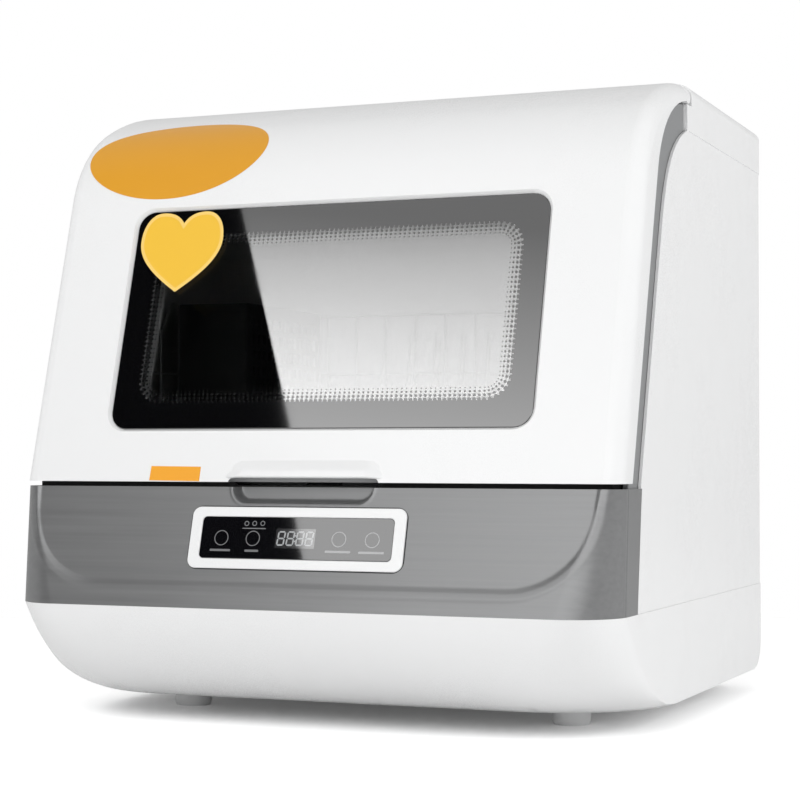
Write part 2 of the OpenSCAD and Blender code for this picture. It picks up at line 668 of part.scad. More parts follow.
// Rotary damper on the right-hand hinge.
module hinge_damper() color(dark) difference() {
    union() {
        translate([0, hinge_y, hinge_z]) x_cylinder(hinge_x + 15, hinge_x + 33, 6.5);
        box([hinge_x + 17, hinge_y + 2, hinge_z - 5], [hinge_x + 31, -2, hinge_z + 2]);
        box([hinge_x + 17, -8, tub_top + 2.5], [hinge_x + 31, -2, hinge_z + 2]);
        box([hinge_x + 16.6, -22, tub_top], [hinge_x + 34, 20, tub_top + 2.5]);
    }
    translate([0, hinge_y, hinge_z]) x_cylinder(hinge_x + 10, hinge_x + 40, pin_r + pin_gap);
}

// Forked arm, bolted inside the door crown.
module hinge_arm(s) color(steel) mirror([s < 0 ? 1 : 0, 0, 0]) difference() {
    union() {
        translate([0, hinge_y, hinge_z]) x_cylinder(hinge_x - 13, hinge_x + 13, 6.5);
        across_from(hinge_x - 13, hinge_x + 13)
            polygon([[hinge_y, hinge_z + 4], [hinge_y, hinge_z - 3.4], [-46, 433], [-70, 426.5], [-70, 430.8], [-46, 437.3]]);
    }
    box([hinge_x - eye_w / 2 - 0.5, -39, 400], [hinge_x + eye_w / 2 + 0.5, 0, 460]);
    translate([0, hinge_y, hinge_z]) x_cylinder(hinge_x - 20, hinge_x + 20, pin_r);
}

module hinge_pins() color(steel) translate([0, hinge_y, hinge_z]) {
    x_cylinder(-hinge_x - 13, -hinge_x + 13, pin_r);
    x_cylinder(hinge_x - 13, hinge_x + 34, pin_r);
}

module latch_catch() color(dark) difference() {
    box([-13, -163.5, 162.8], [13, -154, 169.6]);
    box([-9, -180, 164], [9, -156.5, 168.7]);
}

module latch_tongue() color(dark) {
    box([-6, -184.2, door_z + 2.8], [6, -173.6, 167]);
    box([-6, -174, 165.4], [6, -160.5, 167]);
    box([-6, -161.9, 164.7], [6, -160.5, 167]);
}

screw_spots = [for (x = [-192, 192], z = [100, 250, 396]) [x, z]];

module case_screws() color(steel) {
    for (p = screw_spots) translate([p[0], 0, p[1]]) y_cylinder(rear_y - 0.6, rear_y + 1.6, 4);
    for (x = [-100, 0, 100]) translate([x, 0, seam_z - 7]) y_cylinder(rear_y - 0.6, rear_y + 1.6, 4);
}

// ---- door ----

module door_body(inset) loft([for (at = door_stations) door_ring(at, inset)]);

module door_side() {
    intersection() {
        polygon(concat(flange_line, [[0, 600], [-400, 600], [-400, 100]]));
        translate([-400, door_z]) square([400 + hinge_y, 400]);
    }
    translate([hinge_y, hinge_z]) circle(hinge_r);
}

glass_mid = (glass_z - door_z) * slope + glass_h / 2;

// Swell of the handle lip above the door's face; below zero it lies inside the wall.
function fade(a, b, v) = let (t = min(1, max(0, (v - a) / (b - a)))) t * t * (3 - 2 * t);

function lip_z(x, y) = 5.6 * fade(57, 42, abs(x)) * fade(20, 8, y) - 0.5;

function lip_ring(x) = [for (q = concat([[24, -7]], [for (y = [24, 20, 18.5, 17, 15.5, 14, 12.5, 11, 9.5, 8, 5]) [y, lip_z(x, y)]],
    [[4.1, lip_z(x, 5) - 0.5], [3.6, lip_z(x, 5) - 1.5], [4.4, -7]])) [x, q[0], q[1]]];

// Outline of the sloping reveal round the glass, z above the door's face.
function reveal_ring(z) = let (r = 14.8 + 0.9 * z, x = (glass_w + 4.6) / 2 - 14.8, y = (glass_h + 4.6) / 2 - 14.8)
    [for (q = concat(arc([x, -y], r, -90, 0, 12), arc([x, y], r, 0, 90, 12), arc([-x, y], r, 90, 180, 12),
        arc([-x, -y], r, 180, 270, 12))) [q[0], q[1], z]];

module door_shell() color(white) difference() {
    union() {
        difference() {
            intersection() {
                door_body(0);
                across(500) door_side();
            }
            door_body(wall);
        }
        intersection() {
            door_body(0);
            union() {
                across(500) intersection() {
                    door_side();
                    translate([-400, door_z]) square([400, 2.8]);
                }
                across(500) translate([hinge_y, hinge_z]) circle(hinge_r);
            }
        }
        // Land behind the glass.
        on_front(door_z) translate([0, glass_mid, -glass_sink - 6.5]) linear_extrude(glass_sink + 4.5)
            rounded_rect(glass_w + 14, glass_h + 14, 18);
        // Handle lip, thick enough for the scoop behind it.
        on_front(door_z) loft([for (x = [each [-58:2:-40], each [40:2:58]]) lip_ring(x)]);
        on_front(door_z) translate([-56, 0, -14]) cube([112, 20, 13]);
    }
    // Scoop for the fingertips, open below.
    on_front(door_z) hull() for (s = [-1, 1], y = [-8, 0.2]) translate([s * 47, y, -5]) sphere(6.6, $fn = 32);
    on_front(door_z) translate([0, glass_mid, -glass_sink - 3.2]) linear_extrude(20)
        rounded_rect(glass_w + 0.6, glass_h + 0.6, 12.8);
    on_front(door_z) translate([0, glass_mid, 0]) loft([reveal_ring(-glass_sink - 0.4), reveal_ring(1)]);
    on_front(door_z) translate([0, glass_mid, -20]) linear_extrude(30) rounded_rect(glass_w - 12, glass_h - 12, 8);
    box([-300, -400, 0], [300, 0, door_z]);
    for (s = [-1, 1]) box([s * hinge_x - 14, -39, 400], [s * hinge_x + 14, 0, 460]);
    box([hinge_x + 13, -39, 400], [hinge_x + 35, 0, 460]);
}

module door_glass() color(clear) on_front(door_z) translate([0, glass_mid, -glass_sink - 3.2])
    linear_extrude(3.2) rounded_rect(glass_w, glass_h, 12.5);

glass_back = (glass_sink + 3.3) * slope;

module liner_window(grow) box([-141 - grow, -300, 211 - grow], [141 + grow, 0, 343.5 + grow]);

module window_spacer() color(dark) difference() {
    intersection() {
        across(300) polygon([[front_y(100) + glass_back, 100], [front_y(420) + glass_back, 420],
            shift(flange_line, -6.6)[1] + [20, 100], shift(flange_line, -6.6)[1], shift(flange_line, -6.6)[0]]);
        translate([0, 0, 276.9]) rotate([90, 0, 0]) linear_extrude(300) rounded_rect(290, 139.4, 6);
    }
    liner_window(0);
}

module inner_glass() color(clear) intersection() {
    across(300) polygon(concat(shift(flange_line, -6.6), reverse(shift(flange_line, -3.6))));
    box([-148, -300, 202], [148, 0, 352]);
}

module door_liner() color(white) difference() {
    intersection() {
        across(2 * (half_w - wall - 0.2)) polygon(concat(shift(flange_line, -3.6), reverse(shift(flange_line, -1))));
        box([-300, -300, door_z + 2.9], [300, -40, 500]);
    }
    liner_window(-2);
    box([-6.3, -300, 160], [6.3, 0, 167.3]);
}

// Local frame on the door's rear edge at height z: x across, z towards the front.
module on_flange(z) translate([0, line_y(flange_line, z), z])
    rotate([90 - atan((line_y(flange_line, z + 1) - line_y(flange_line, z - 1)) / 2), 0, 0]) children();

module door_screws() color(steel) for (s = [-1, 1], z = [185, 245, 305, 365]) on_flange(z)
    translate([s * 203, 0, -0.2]) cylinder(h = 3.4, r = 3);

// ---- basket ----

module basket_floor() color(white) {
    for (i = [-6:6]) rod([i * 26, basket_front, basket_z], [i * 26, basket_back, basket_z], wire_d / 2);
    for (j = [0:7]) rod([-basket_x, basket_front + 18 + j * 32, basket_z - wire_d * 0.8],
        [basket_x, basket_front + 18 + j * 32, basket_z - wire_d * 0.8], wire_d / 2);
    for (s = [-1, 1]) rod([s * basket_x, basket_front, basket_z - 2], [s * basket_x, basket_back, basket_z - 2], 2.5);
    for (y = [basket_front, basket_back]) rod([-basket_x, y, basket_z], [basket_x, y, basket_z], 2.2);
}

// Height of the side rim: it steps down towards the front.
function rim_at(y) = lookup(y, [[-71, step_z], [-57, rim_z]]);

// One end: a rim at height z over a row of uprights.
module basket_end(y, z) {
    rod([-basket_x, y, z], [basket_x, y, z], 2.2);
    for (i = [-6:6]) rod([i * 26, y, basket_z + 1], [i * 26, y, z], wire_d / 2);
}

// The front end stays below the window.
module basket_ends() color(white) {
    basket_end(basket_front, low_z);
    basket_end(basket_back, rim_z);
    rod([-basket_x, basket_back, 250], [basket_x, basket_back, 250], wire_d / 2);
}

module basket_sides() color(white) for (s = [-1, 1]) {
    pipe([for (p = [[basket_front, low_z], [basket_front, step_z], [-71, step_z], [-57, rim_z], [basket_back, rim_z]])
        [s * basket_x, p[0], p[1]]], 2.2);
    rod([s * basket_x, basket_front, 244], [s * basket_x, basket_back, 244], wire_d / 2);
    for (y = [basket_front:28:basket_back]) rod([s * basket_x, y, basket_z - 1], [s * basket_x, y, rim_at(y)], wire_d / 2);
}

module plate_tines() color(white) for (y = [12, 76]) {
    rod([-40, y, basket_z + 3], [160, y, basket_z + 3], wire_d / 2);
    for (i = [0:9]) rod([-36 + i * 21, y, basket_z + 2], [-36 + i * 21, y + 14, 276], wire_d / 2);
}

module cutlery_box() color(moulded) difference() {
    box([-168, -60, basket_z + 1.5], [-112, 70, 296]);
    box([-166, -58, basket_z + 4], [-114, 4, 300]);
    box([-166, 6, basket_z + 4], [-114, 68, 300]);
    for (k = [0:5]) for (y = [-50:9:60]) box([-180, y, basket_z + 10 + k * 12], [-100, y + 5, basket_z + 18 + k * 12]);
}

base_tray();
foot(0);  // foot_front_left
foot(1);  // foot_front_right
foot(2);  // foot_rear_left
foot(3);  // foot_rear_right
front_fascia();
control_bezel();
control_panel();
display_module();
touch_board();
side_panel(-1);  // side_panel_left
side_panel(1);  // side_panel_right
rear_panel();
top_cover();
opening_frame();
tub();
tub_gasket();
basket_rails();
sump();
filter_plate();
filter_cylinder();
spray_pivot();
spray_arm();
spray_hub_nut();
wash_pump();
flow_heater();
wash_hose();
drain_pump();
drain_hose();
drain_spigot();
inlet_valve();
fill_hose();
tank_hose();
water_tank();
fill_funnel();
fill_lid();
drying_fan();
air_duct();
power_board();
cord_gland();
hinge_bracket(-1);  // hinge_bracket_left
hinge_bracket(1);  // hinge_bracket_right
hinge_damper();
latch_catch();
case_screws();
door_shell();
door_glass();
window_spacer();
inner_glass();
door_liner();
hinge_arm(-1);  // hinge_arm_left
hinge_arm(1);  // hinge_arm_right
hinge_pins();
latch_tongue();
door_screws();
basket_floor();
basket_ends();
basket_sides();
plate_tines();
cutlery_box();
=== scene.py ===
"""Looks of a countertop dishwasher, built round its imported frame."""

import logging
import math
from dataclasses import dataclass
from enum import Enum
from typing import Callable, Optional, Sequence, Union

import bmesh
import bpy
from mathutils import Matrix, Vector


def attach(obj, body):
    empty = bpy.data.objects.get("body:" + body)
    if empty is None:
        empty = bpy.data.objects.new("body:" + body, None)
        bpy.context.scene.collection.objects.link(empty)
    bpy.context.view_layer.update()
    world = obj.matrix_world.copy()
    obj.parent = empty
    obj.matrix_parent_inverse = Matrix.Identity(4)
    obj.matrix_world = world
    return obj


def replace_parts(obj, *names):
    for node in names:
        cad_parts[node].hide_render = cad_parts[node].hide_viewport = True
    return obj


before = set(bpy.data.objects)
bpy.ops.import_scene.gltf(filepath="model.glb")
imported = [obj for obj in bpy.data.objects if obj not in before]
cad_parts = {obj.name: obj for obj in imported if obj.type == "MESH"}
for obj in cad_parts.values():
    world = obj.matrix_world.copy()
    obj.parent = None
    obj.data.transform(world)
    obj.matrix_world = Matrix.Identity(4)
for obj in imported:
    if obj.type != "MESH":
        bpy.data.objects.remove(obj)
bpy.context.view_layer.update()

LOG = logging.getLogger("dishwasher")
MM = 0.001


class Axis(Enum):
    """The body axes a pattern can run along."""

    X = 0
    Y = 1
    Z = 2


# ---------------------------------------------------------------- nodes and shader maths

Value = Union["Signal", float]


class Signal:
    """A node socket that takes part in Python arithmetic."""

    def __init__(self, graph: "Graph", socket: bpy.types.NodeSocket) -> None:
        """Keeps the socket and the graph it belongs to."""
        self.graph = graph
        self.socket = socket

    def __add__(self, other: Value) -> "Signal":
        """Sum."""
        return self.graph.maths("ADD", self, other)

    def __sub__(self, other: Value) -> "Signal":
        """Difference."""
        return self.graph.maths("SUBTRACT", self, other)

    def __mul__(self, other: Value) -> "Signal":
        """Product."""
        return self.graph.maths("MULTIPLY", self, other)

    def power(self, exponent: float) -> "Signal":
        """This value raised to an exponent."""
        return self.graph.maths("POWER", self, exponent)

    def clipped(self, low: float, high: float) -> "Signal":
        """Maps low..high onto 0..1 with clipped ends."""
        return self.graph.out(self.graph.node("ShaderNodeMapRange", {"clamp": True}, Value=self,
                                              From_Min=low, From_Max=high))


class Tree:
    """A node tree that grows by one method, whatever the node."""

    start: Optional[bpy.types.Node] = None

    def __init__(self, tree: bpy.types.NodeTree) -> None:
        """Keeps the tree and empties it."""
        self.tree = tree
        tree.nodes.clear()

    def node(self, kind: str, settings: Optional[dict] = None, **inputs: object) -> bpy.types.Node:
        """Adds any node and feeds its sockets.

        Args:
            kind: The node's type.
            settings: Attributes that are set before its sockets.
            inputs: What each socket gets: a value, a node, a socket, a signal, or "=Name" for an input of
                the whole tree. A socket goes by its name, with _ for a space, or by i and its number.

        Returns:
            The node.
        """
        made = self.tree.nodes.new(kind)
        for key, value in (settings or {}).items():
            setattr(made, key, value)
        for key, value in inputs.items():
            socket = made.inputs[int(key[1:]) if key[1:].isdigit() else key.replace("_", " ")]
            if isinstance(value, str) and value.startswith("="):
                value = self.start.outputs[value[1:]]
            if isinstance(value, (bpy.types.Node, Signal)):
                value = value.socket if isinstance(value, Signal) else value.outputs[0]
            if isinstance(value, bpy.types.NodeSocket):
                self.tree.links.new(value, socket)
            else:
                socket.default_value = value
        return made


class Graph(Tree):
    """Builds one material's node tree."""

    def __init__(self, name: str) -> None:
        """Starts an empty material of this name."""
        self.material = bpy.data.materials.new(name)
        self.material.use_nodes = True
        super().__init__(self.material.node_tree)

    def out(self, made: bpy.types.Node, name: Union[str, int] = 0) -> Signal:
        """Wraps an output of a node."""
        return Signal(self, made.outputs[name])

    def maths(self, operation: str, *values: Value) -> Signal:
        """Adds a Math node on some values."""
        return self.out(self.node("ShaderNodeMath", {"operation": operation},
                                  **{f"i{i}": v for i, v in enumerate(values)}))

    def place(self) -> Signal:
        """Object coordinates, in metres."""
        return self.out(self.node("ShaderNodeTexCoord"), "Object")

    def axes(self) -> tuple[Signal, Signal, Signal]:
        """The three object coordinates."""
        made = self.node("ShaderNodeSeparateXYZ", Vector=self.place())
        return tuple(self.out(made, i) for i in range(3))

    def noise(self, scale: float, detail: float = 2.0, stretch: Optional[Sequence[float]] = None) -> Signal:
        """Fractal noise of so many cycles per metre, with factors on the three axes for a grain."""
        where = self.place()
        if stretch:
            where = self.out(self.node("ShaderNodeMapping", Vector=where, Scale=tuple(stretch)))
        return self.out(self.node("ShaderNodeTexNoise", Vector=where, Scale=scale, Detail=detail))

    def tint(self, factor: Value, low: Sequence[float], high: Sequence[float]) -> Signal:
        """Mixes two colours by a factor."""
        made = self.node("ShaderNodeMix", {"data_type": "RGBA"}, i0=factor, i6=(*low, 1.0), i7=(*high, 1.0))
        return self.out(made, 2)

    def bump(self, height: Signal, distance: float) -> Signal:
        """Turns a height into a normal, with the height's full depth in metres."""
        return self.out(self.node("ShaderNodeBump", Height=height, Distance=distance, Strength=1.0))

    def surface(self, **inputs: object) -> bpy.types.Material:
        """Ends the tree in a Principled shader and returns the material."""
        return self.close(self.node("ShaderNodeBsdfPrincipled", **inputs))

    def close(self, shader: bpy.types.Node) -> bpy.types.Material:
        """Links a shader to the output and returns the material."""
        self.node("ShaderNodeOutputMaterial", Surface=shader)
        return self.material


# ---------------------------------------------------------------- finishes


@dataclass(frozen=True)
class Gloss:
    """A moulded plastic finish.

    Attributes:
        base: Linear base colour.
        rough: Mean roughness.
        peel: Depth of the surface's waviness in metres.
        grain: Depth of its fine texture in metres.
        metallic: How metallic it looks.
        coat: Weight of the clear layer.
        index: Refractive index, which sets how strongly it mirrors.
        cloud: Darkest tone of its slow colour variation.
        streak: Depth of the tone in its level streaks.
    """

    base: tuple[float, float, float]
    rough: float
    peel: float = 0.0
    grain: float = 0.0
    metallic: float = 0.0
    coat: float = 0.0
    index: float = 1.5
    cloud: float = 0.985
    streak: float = 0.0

    def build(self, name: str) -> bpy.types.Material:
        """Makes the material under this name."""
        graph = Graph(name)
        cloud = graph.noise(9.0, 3.0)
        fine = graph.noise(2600.0, 2.0)
        dark = tuple(c * self.cloud for c in self.base)
        colour = graph.tint(cloud.clipped(0.3, 0.7), dark, self.base)
        rough = (cloud - 0.5) * 0.05 + (fine - 0.5) * 0.05 + self.rough
        if self.streak:
            lines = graph.noise(320.0, 3.0, (0.02, 1.0, 1.0))
            veil = tuple(c * (1.0 - self.streak) for c in self.base)
            blend = cloud.clipped(0.3, 0.7) * 0.4 + lines.clipped(0.3, 0.7) * 0.6
            colour = graph.tint(blend, veil, self.base)
            rough = rough + (lines - 0.5) * 0.12
        bent = {}
        if self.peel or self.grain:
            bent["Normal"] = graph.bump(graph.noise(120.0, 1.0) * self.peel + fine * self.grain, 1.0)
        return graph.surface(Base_Color=colour, Roughness=rough, Metallic=self.metallic, IOR=self.index,
                             Coat_Weight=self.coat, Coat_Roughness=0.04, **bent)


@dataclass(frozen=True)
class Brushed:
    """A brushed or wiped metal finish.

    Attributes:
        base: Linear base colour.
        rough: Mean roughness.
        grain: Axis the brush marks run along.
        depth: Depth of the marks in metres.
    """

    base: tuple[float, float, float]
    rough: float
    grain: Axis = Axis.X
    depth: float = 2e-6

    def build(self, name: str) -> bpy.types.Material:
        """Makes the material under this name."""
        graph = Graph(name)
        stretch = [1.0, 1.0, 1.0]
        stretch[self.grain.value] = 0.02
        marks = graph.noise(2200.0, 3.0, stretch)
        cloud = graph.noise(14.0, 3.0)
        colour = graph.tint(cloud * 0.6 + marks * 0.4, tuple(c * 0.8 for c in self.base), self.base)
        rough = (marks - 0.5) * 0.22 + (cloud - 0.5) * 0.1 + self.rough
        return graph.surface(Base_Color=colour, Roughness=rough, Metallic=1.0,
                             Normal=graph.bump(marks, self.depth))


@dataclass(frozen=True)
class Glazing:
    """Tinted or clear glass, as a thin mirror that lets light through.

    Attributes:
        stop: Share of light each face holds back, its reflection included.
        mirror: Share of light each face reflects, seen squarely.
    """

    stop: float
    mirror: float = 0.043

    def build(self, name: str) -> bpy.types.Material:
        """Makes the material under this name."""
        graph = Graph(name)
        smear = graph.noise(30.0, 4.0)
        level = self.mirror / self.stop
        return graph.surface(Base_Color=(level, level, level, 1.0), Metallic=1.0, Alpha=self.stop,
                             Roughness=smear.clipped(0.45, 0.9) * 0.04 + 0.01)


class Finish(Enum):
    """Every finish on the machine."""

    WHITE = Gloss((0.80, 0.803, 0.805), 0.28, grain=8e-7, coat=0.1, cloud=0.993)
    WHITE_INNER = Gloss((0.72, 0.725, 0.73), 0.42, grain=2.0e-6)
    SATIN = Gloss((0.285, 0.287, 0.29), 0.4, grain=1.0e-6, metallic=0.75, streak=0.16)
    # Darker grey painted on the door's finger scoop as painted shade in the recess.
    GRIP = Gloss((0.42, 0.425, 0.43), 0.5, grain=2e-6)
    FRAME = Gloss((0.27, 0.275, 0.28), 0.45, grain=2.0e-6, metallic=0.3, cloud=0.97)
    BLACK_GLASS = Gloss((0.004, 0.004, 0.005), 0.03, coat=1.0, index=1.9)
    BLACK = Gloss((0.012, 0.012, 0.013), 0.42, grain=3.0e-6, cloud=0.9)
    # Near-black sheet in the gap between band and door, as painted shade in the gap.
    VOID = Gloss((0.002, 0.002, 0.002), 0.8)
    RUBBER = Gloss((0.045, 0.046, 0.048), 0.6, grain=4.0e-6, cloud=0.92)
    FOOT = Gloss((0.93, 0.933, 0.936), 0.42, grain=3.0e-6, cloud=0.95)
    MOULDED = Gloss((0.50, 0.51, 0.52), 0.4, grain=2.5e-6)
    WIRE = Gloss((0.40, 0.405, 0.41), 0.3, peel=3e-6)
    CUTLERY = Gloss((0.05, 0.05, 0.052), 0.4, grain=2.5e-6)
    BOARD = Gloss((0.01, 0.09, 0.035), 0.4, grain=2e-6, coat=0.4, cloud=0.9)
    YELLOW = Gloss((0.84, 0.50, 0.035), 0.34, peel=2e-6)
    AMBER = Gloss((0.70, 0.32, 0.013), 0.34, peel=2e-6)
    YELLOW_EDGE = Gloss((0.88, 0.60, 0.16), 0.34, peel=2e-6)
    ORANGE = Gloss((0.84, 0.36, 0.02), 0.34, peel=2e-6)
    TUB = Brushed((0.66, 0.66, 0.67), 0.34, Axis.Z)
    STEEL = Brushed((0.60, 0.60, 0.61), 0.3, Axis.X)
    DOOR_GLASS = Glazing(0.30, 0.25)
    INNER_GLASS = Glazing(0.12, 0.06)
    BORDER = Gloss((0.003, 0.003, 0.0035), 0.03, coat=1.0, index=2.1)
    MARK = Gloss((0.20, 0.203, 0.208), 0.05, coat=1.0, index=1.9)
    LIT = Gloss((0.42, 0.43, 0.44), 0.05, coat=1.0, index=1.9)
    SCREEN = Gloss((0.03, 0.03, 0.032), 0.05, coat=1.0, index=2.4, cloud=0.9)

    @property
    def slot(self) -> Optional[str]:
        """The record's material slot it belongs to, if any."""
        return SLOTS.get(self.name)


SLOTS = {name: slot for slot, names in (
    ("white_shell", ("WHITE", "WHITE_INNER")), ("satin_grey", ("SATIN", "FRAME")),
    ("black_panel", ("BLACK_GLASS",)), ("black_plastic", ("BLACK",)), ("seal_rubber", ("RUBBER",)),
    ("foot_rubber", ("FOOT",)), ("moulded_grey", ("MOULDED", "CUTLERY", "GRIP")), ("coated_wire", ("WIRE",)),
    ("circuit_board", ("BOARD",)), ("tub_steel", ("TUB",)), ("steel", ("STEEL",)),
    ("door_glass", ("DOOR_GLASS", "INNER_GLASS", "BORDER"))) for name in names}


class Palette:
    """Makes each finish once."""

    def __init__(self) -> None:
        """Starts with no materials."""
        self.made: dict[Finish, bpy.types.Material] = {}

    def __getitem__(self, finish: Finish) -> bpy.types.Material:
        """Returns the material of a finish."""
        if finish not in self.made:
            self.made[finish] = finish.value.build(finish.name.lower())
        return self.made[finish]


PALETTE = Palette()

# ---------------------------------------------------------------- places and meshes

Point = tuple[float, float]
Point3 = tuple[float, float, float]
Route = tuple[float, Sequence[Point3]]


def unit(angle: float) -> Vector:
    """Flat vector of length one at an angle in radians."""
    return Vector((math.cos(angle), math.sin(angle)))


@dataclass(frozen=True)
class Line:
    """The machine's leading lines, in millimetres, as its construction has them.

    Attributes:
        toe_c: Middle of the base's rounded front, behind and above the floor.
        toe_r: Its radius, squared.
        scoop_x: Middle of the finger pocket across.
    """

    half_w: float = 215.0
    toe_y: float = -222.5
    base_top: float = 82.0
    lean: float = 0.275
    door_z: float = 162.0
    brow_z: float = 366.0
    brow_r: float = 88.0
    brow_end: float = 118.0
    crown_r: float = 205.0
    glass_w: float = 306.0
    glass_h: float = 160.0
    glass_z: float = 201.0
    glass_sink: float = 2.2
    glass_t: float = 3.2
    toe_c: Point = (-127.0, 113.0)
    toe_r: float = 10081.25
    scoop_x: float = -1.3

    @property
    def slope(self) -> float:
        """Length along the front per millimetre of height."""
        return math.hypot(1.0, self.lean)

    @property
    def front_angle(self) -> float:
        """Turn about X that lays a flat frame on the front, in radians."""
        return math.pi / 2 - math.atan(self.lean)

    @property
    def glass_mid(self) -> float:
        """Middle of the glass, up the slope from the door's lower edge."""
        return (self.glass_z - self.door_z) * self.slope + self.glass_h / 2

    def front_y(self, z: float) -> float:
        """Depth of the leaning front at a height."""
        return self.toe_y + self.lean * (z - self.base_top)

    def toe_arc(self, z: float) -> float:
        """Depth of the base's rounded front at a height."""
        return self.toe_c[0] - math.sqrt(max(0.0, self.toe_r - (z - self.toe_c[1]) ** 2))

    def on_front(self, z: float) -> Matrix:
        """Frame on the front at a height, in millimetres: x across, y up the slope, z outwards."""
        place = Matrix.Translation((0.0, self.front_y(z) * MM, z * MM))
        return place @ Matrix.Rotation(self.front_angle, 4, "X") @ Matrix.Scale(MM, 4)

    def on_glass(self) -> Matrix:
        """Frame in the middle of the window, level with the door's face."""
        return self.on_front(self.door_z) @ Matrix.Translation((0.0, self.glass_mid, 0.0))

    def door_point(self, x: float, s: float, lift: float) -> Vector:
        """Point on the door's outer face.

        Args:
            x: Distance from the middle plane.
            s: Distance along the face from its lower edge.
            lift: Height above the face.

        Returns:
            The point in metres.
        """
        straight = (self.brow_z - self.door_z) * self.slope
        start, end = math.pi / 2 + self.front_angle, math.radians(self.brow_end)
        bend = self.brow_r * (start - end)
        brow = Vector((self.front_y(self.brow_z), self.brow_z)) - self.brow_r * unit(start)
        if s <= straight:
            z = self.door_z + s / self.slope
            centre, radius, angle = Vector((self.front_y(z), z)), 0.0, start
        elif s <= straight + bend:
            centre, radius, angle = brow, self.brow_r, start - (s - straight) / self.brow_r
        else:
            centre, radius = brow + (self.brow_r - self.crown_r) * unit(end), self.crown_r
            angle = end - (s - straight - bend) / self.crown_r
        side = centre + (radius + lift) * unit(angle)
        return Vector((x, side.x, side.y)) * MM


LINE = Line()


def arc(cx: float, cy: float, r: float, a0: float, a1: float, n: int) -> list[Point]:
    """Points along an arc, angles in degrees."""
    turns = [math.radians(a0 + (a1 - a0) * i / n) for i in range(n + 1)]
    return [(cx + r * math.cos(a), cy + r * math.sin(a)) for a in turns]


def rounded(w: float, h: float, r: float, n: int = 10, cx: float = 0.0, cy: float = 0.0) -> list[Point]:
    """Outline of a rounded rectangle about (cx, cy), counter-clockwise, with n steps in a corner."""
    x, y = w / 2 - r, h / 2 - r
    corners = ((x, -y, -90), (x, y, 0), (-x, y, 90), (-x, -y, 180))
    return [p for a, b, turn in corners for p in arc(cx + a, cy + b, r, turn, turn + 90, n)]


class Shape:
    """Collects a mesh from lofts and plates."""

    def __init__(self) -> None:
        """Starts empty."""
        self.points: list[Vector] = []
        self.faces: list[tuple[int, ...]] = []

    def loft(self, rings: Sequence[Sequence[Point3]], place: Optional[Matrix] = None,
             start: bool = True, end: bool = True) -> "Shape":
        """Joins rings of equal length, each counter-clockwise seen from the last.

        Args:
            rings: The rings, in order.
            place: Frame the points are in.
            start: True to close the first ring.
            end: True to close the last ring.

        Returns:
            This shape.
        """
        first, n = len(self.points), len(rings[0])
        place = place or Matrix.Scale(MM, 4)
        self.points += [place @ Vector(p) for ring in rings for p in ring]
        for k in range(len(rings) - 1):
            low, high = first + k * n, first + (k + 1) * n
            self.faces += [(low + i, low + (i + 1) % n, high + (i + 1) % n, high + i) for i in range(n)]
        if start:
            self.faces.append(tuple(first + i for i in reversed(range(n))))
        if end:
            self.faces.append(tuple(first + (len(rings) - 1) * n + i for i in range(n)))
        return self

    def plate(self, outline: Sequence[Point], z0: float, z1: float, place: Matrix,
              edge: float = 0.0) -> "Shape":
        """Adds a flat plate from z0 up to z1 in a frame, with its upper edge rounded off."""
        levels = [(z0, 0.0), (z1 - edge, 0.0)]
        if edge:
            levels += [(z1 - edge * (1 - math.sin(a)), edge * (1 - math.cos(a)))
                       for a in (0.5, 1.0, math.pi / 2)]
        return self.loft([[(*p, z) for p in inset(outline, d)] for z, d in levels], place)

    def band(self, outer: Sequence[Point], inner: Sequence[Point], z0: float, z1: float,
             place: Matrix) -> "Shape":
        """Adds a flat frame between two outlines of equal length, from z0 up to z1."""
        rings = [[(*p, z0) for p in outer], [(*p, z1) for p in outer],
                 [(*p, z1) for p in inner], [(*p, z0) for p in inner], [(*p, z0) for p in outer]]
        return self.loft(rings, place, start=False, end=False)

    def piece(self, name: str, finish: Finish, body: str, smooth: Optional[float] = 30.0) -> bpy.types.Object:
        """Makes the piece, with edges below an angle in degrees shaded smooth."""
        mesh = bpy.data.meshes.new(name)
        mesh.from_pydata(self.points, [], self.faces)
        weld(mesh, 1e-7)
        return settle(name, mesh, finish, body, smooth)


def inset(outline: Sequence[Point], d: float) -> list[Point]:
    """Moves a closed counter-clockwise outline inwards by d."""
    if not d:
        return list(outline)
    n, moved = len(outline), []
    for i in range(n):
        a, b, c = (Vector(outline[j % n]) for j in (i - 1, i, i + 1))
        one, two = (b - a), (c - b)
        one = one.normalized() if one.length > 1e-9 else two.normalized()
        two = two.normalized() if two.length > 1e-9 else one
        out = Vector((one.y + two.y, -one.x - two.x)).normalized()
        moved.append(tuple(b - out * (d / max(0.35, out.dot(Vector((one.y, -one.x)))))))
    return moved


def weld(mesh: bpy.types.Mesh, distance: float) -> None:
    """Merges a mesh's doubles and points its faces outwards."""
    work = bmesh.new()
    work.from_mesh(mesh)
    bmesh.ops.remove_doubles(work, verts=work.verts, dist=distance)
    bmesh.ops.dissolve_degenerate(work, edges=work.edges, dist=distance)
    bmesh.ops.recalc_face_normals(work, faces=work.faces)
    work.to_mesh(mesh)
    work.free()


def put(name: str, data: Optional[bpy.types.ID]) -> bpy.types.Object:
    """Makes an object and links it to the scene."""
    made = bpy.data.objects.new(name, data)
    bpy.context.scene.collection.objects.link(made)
    return made


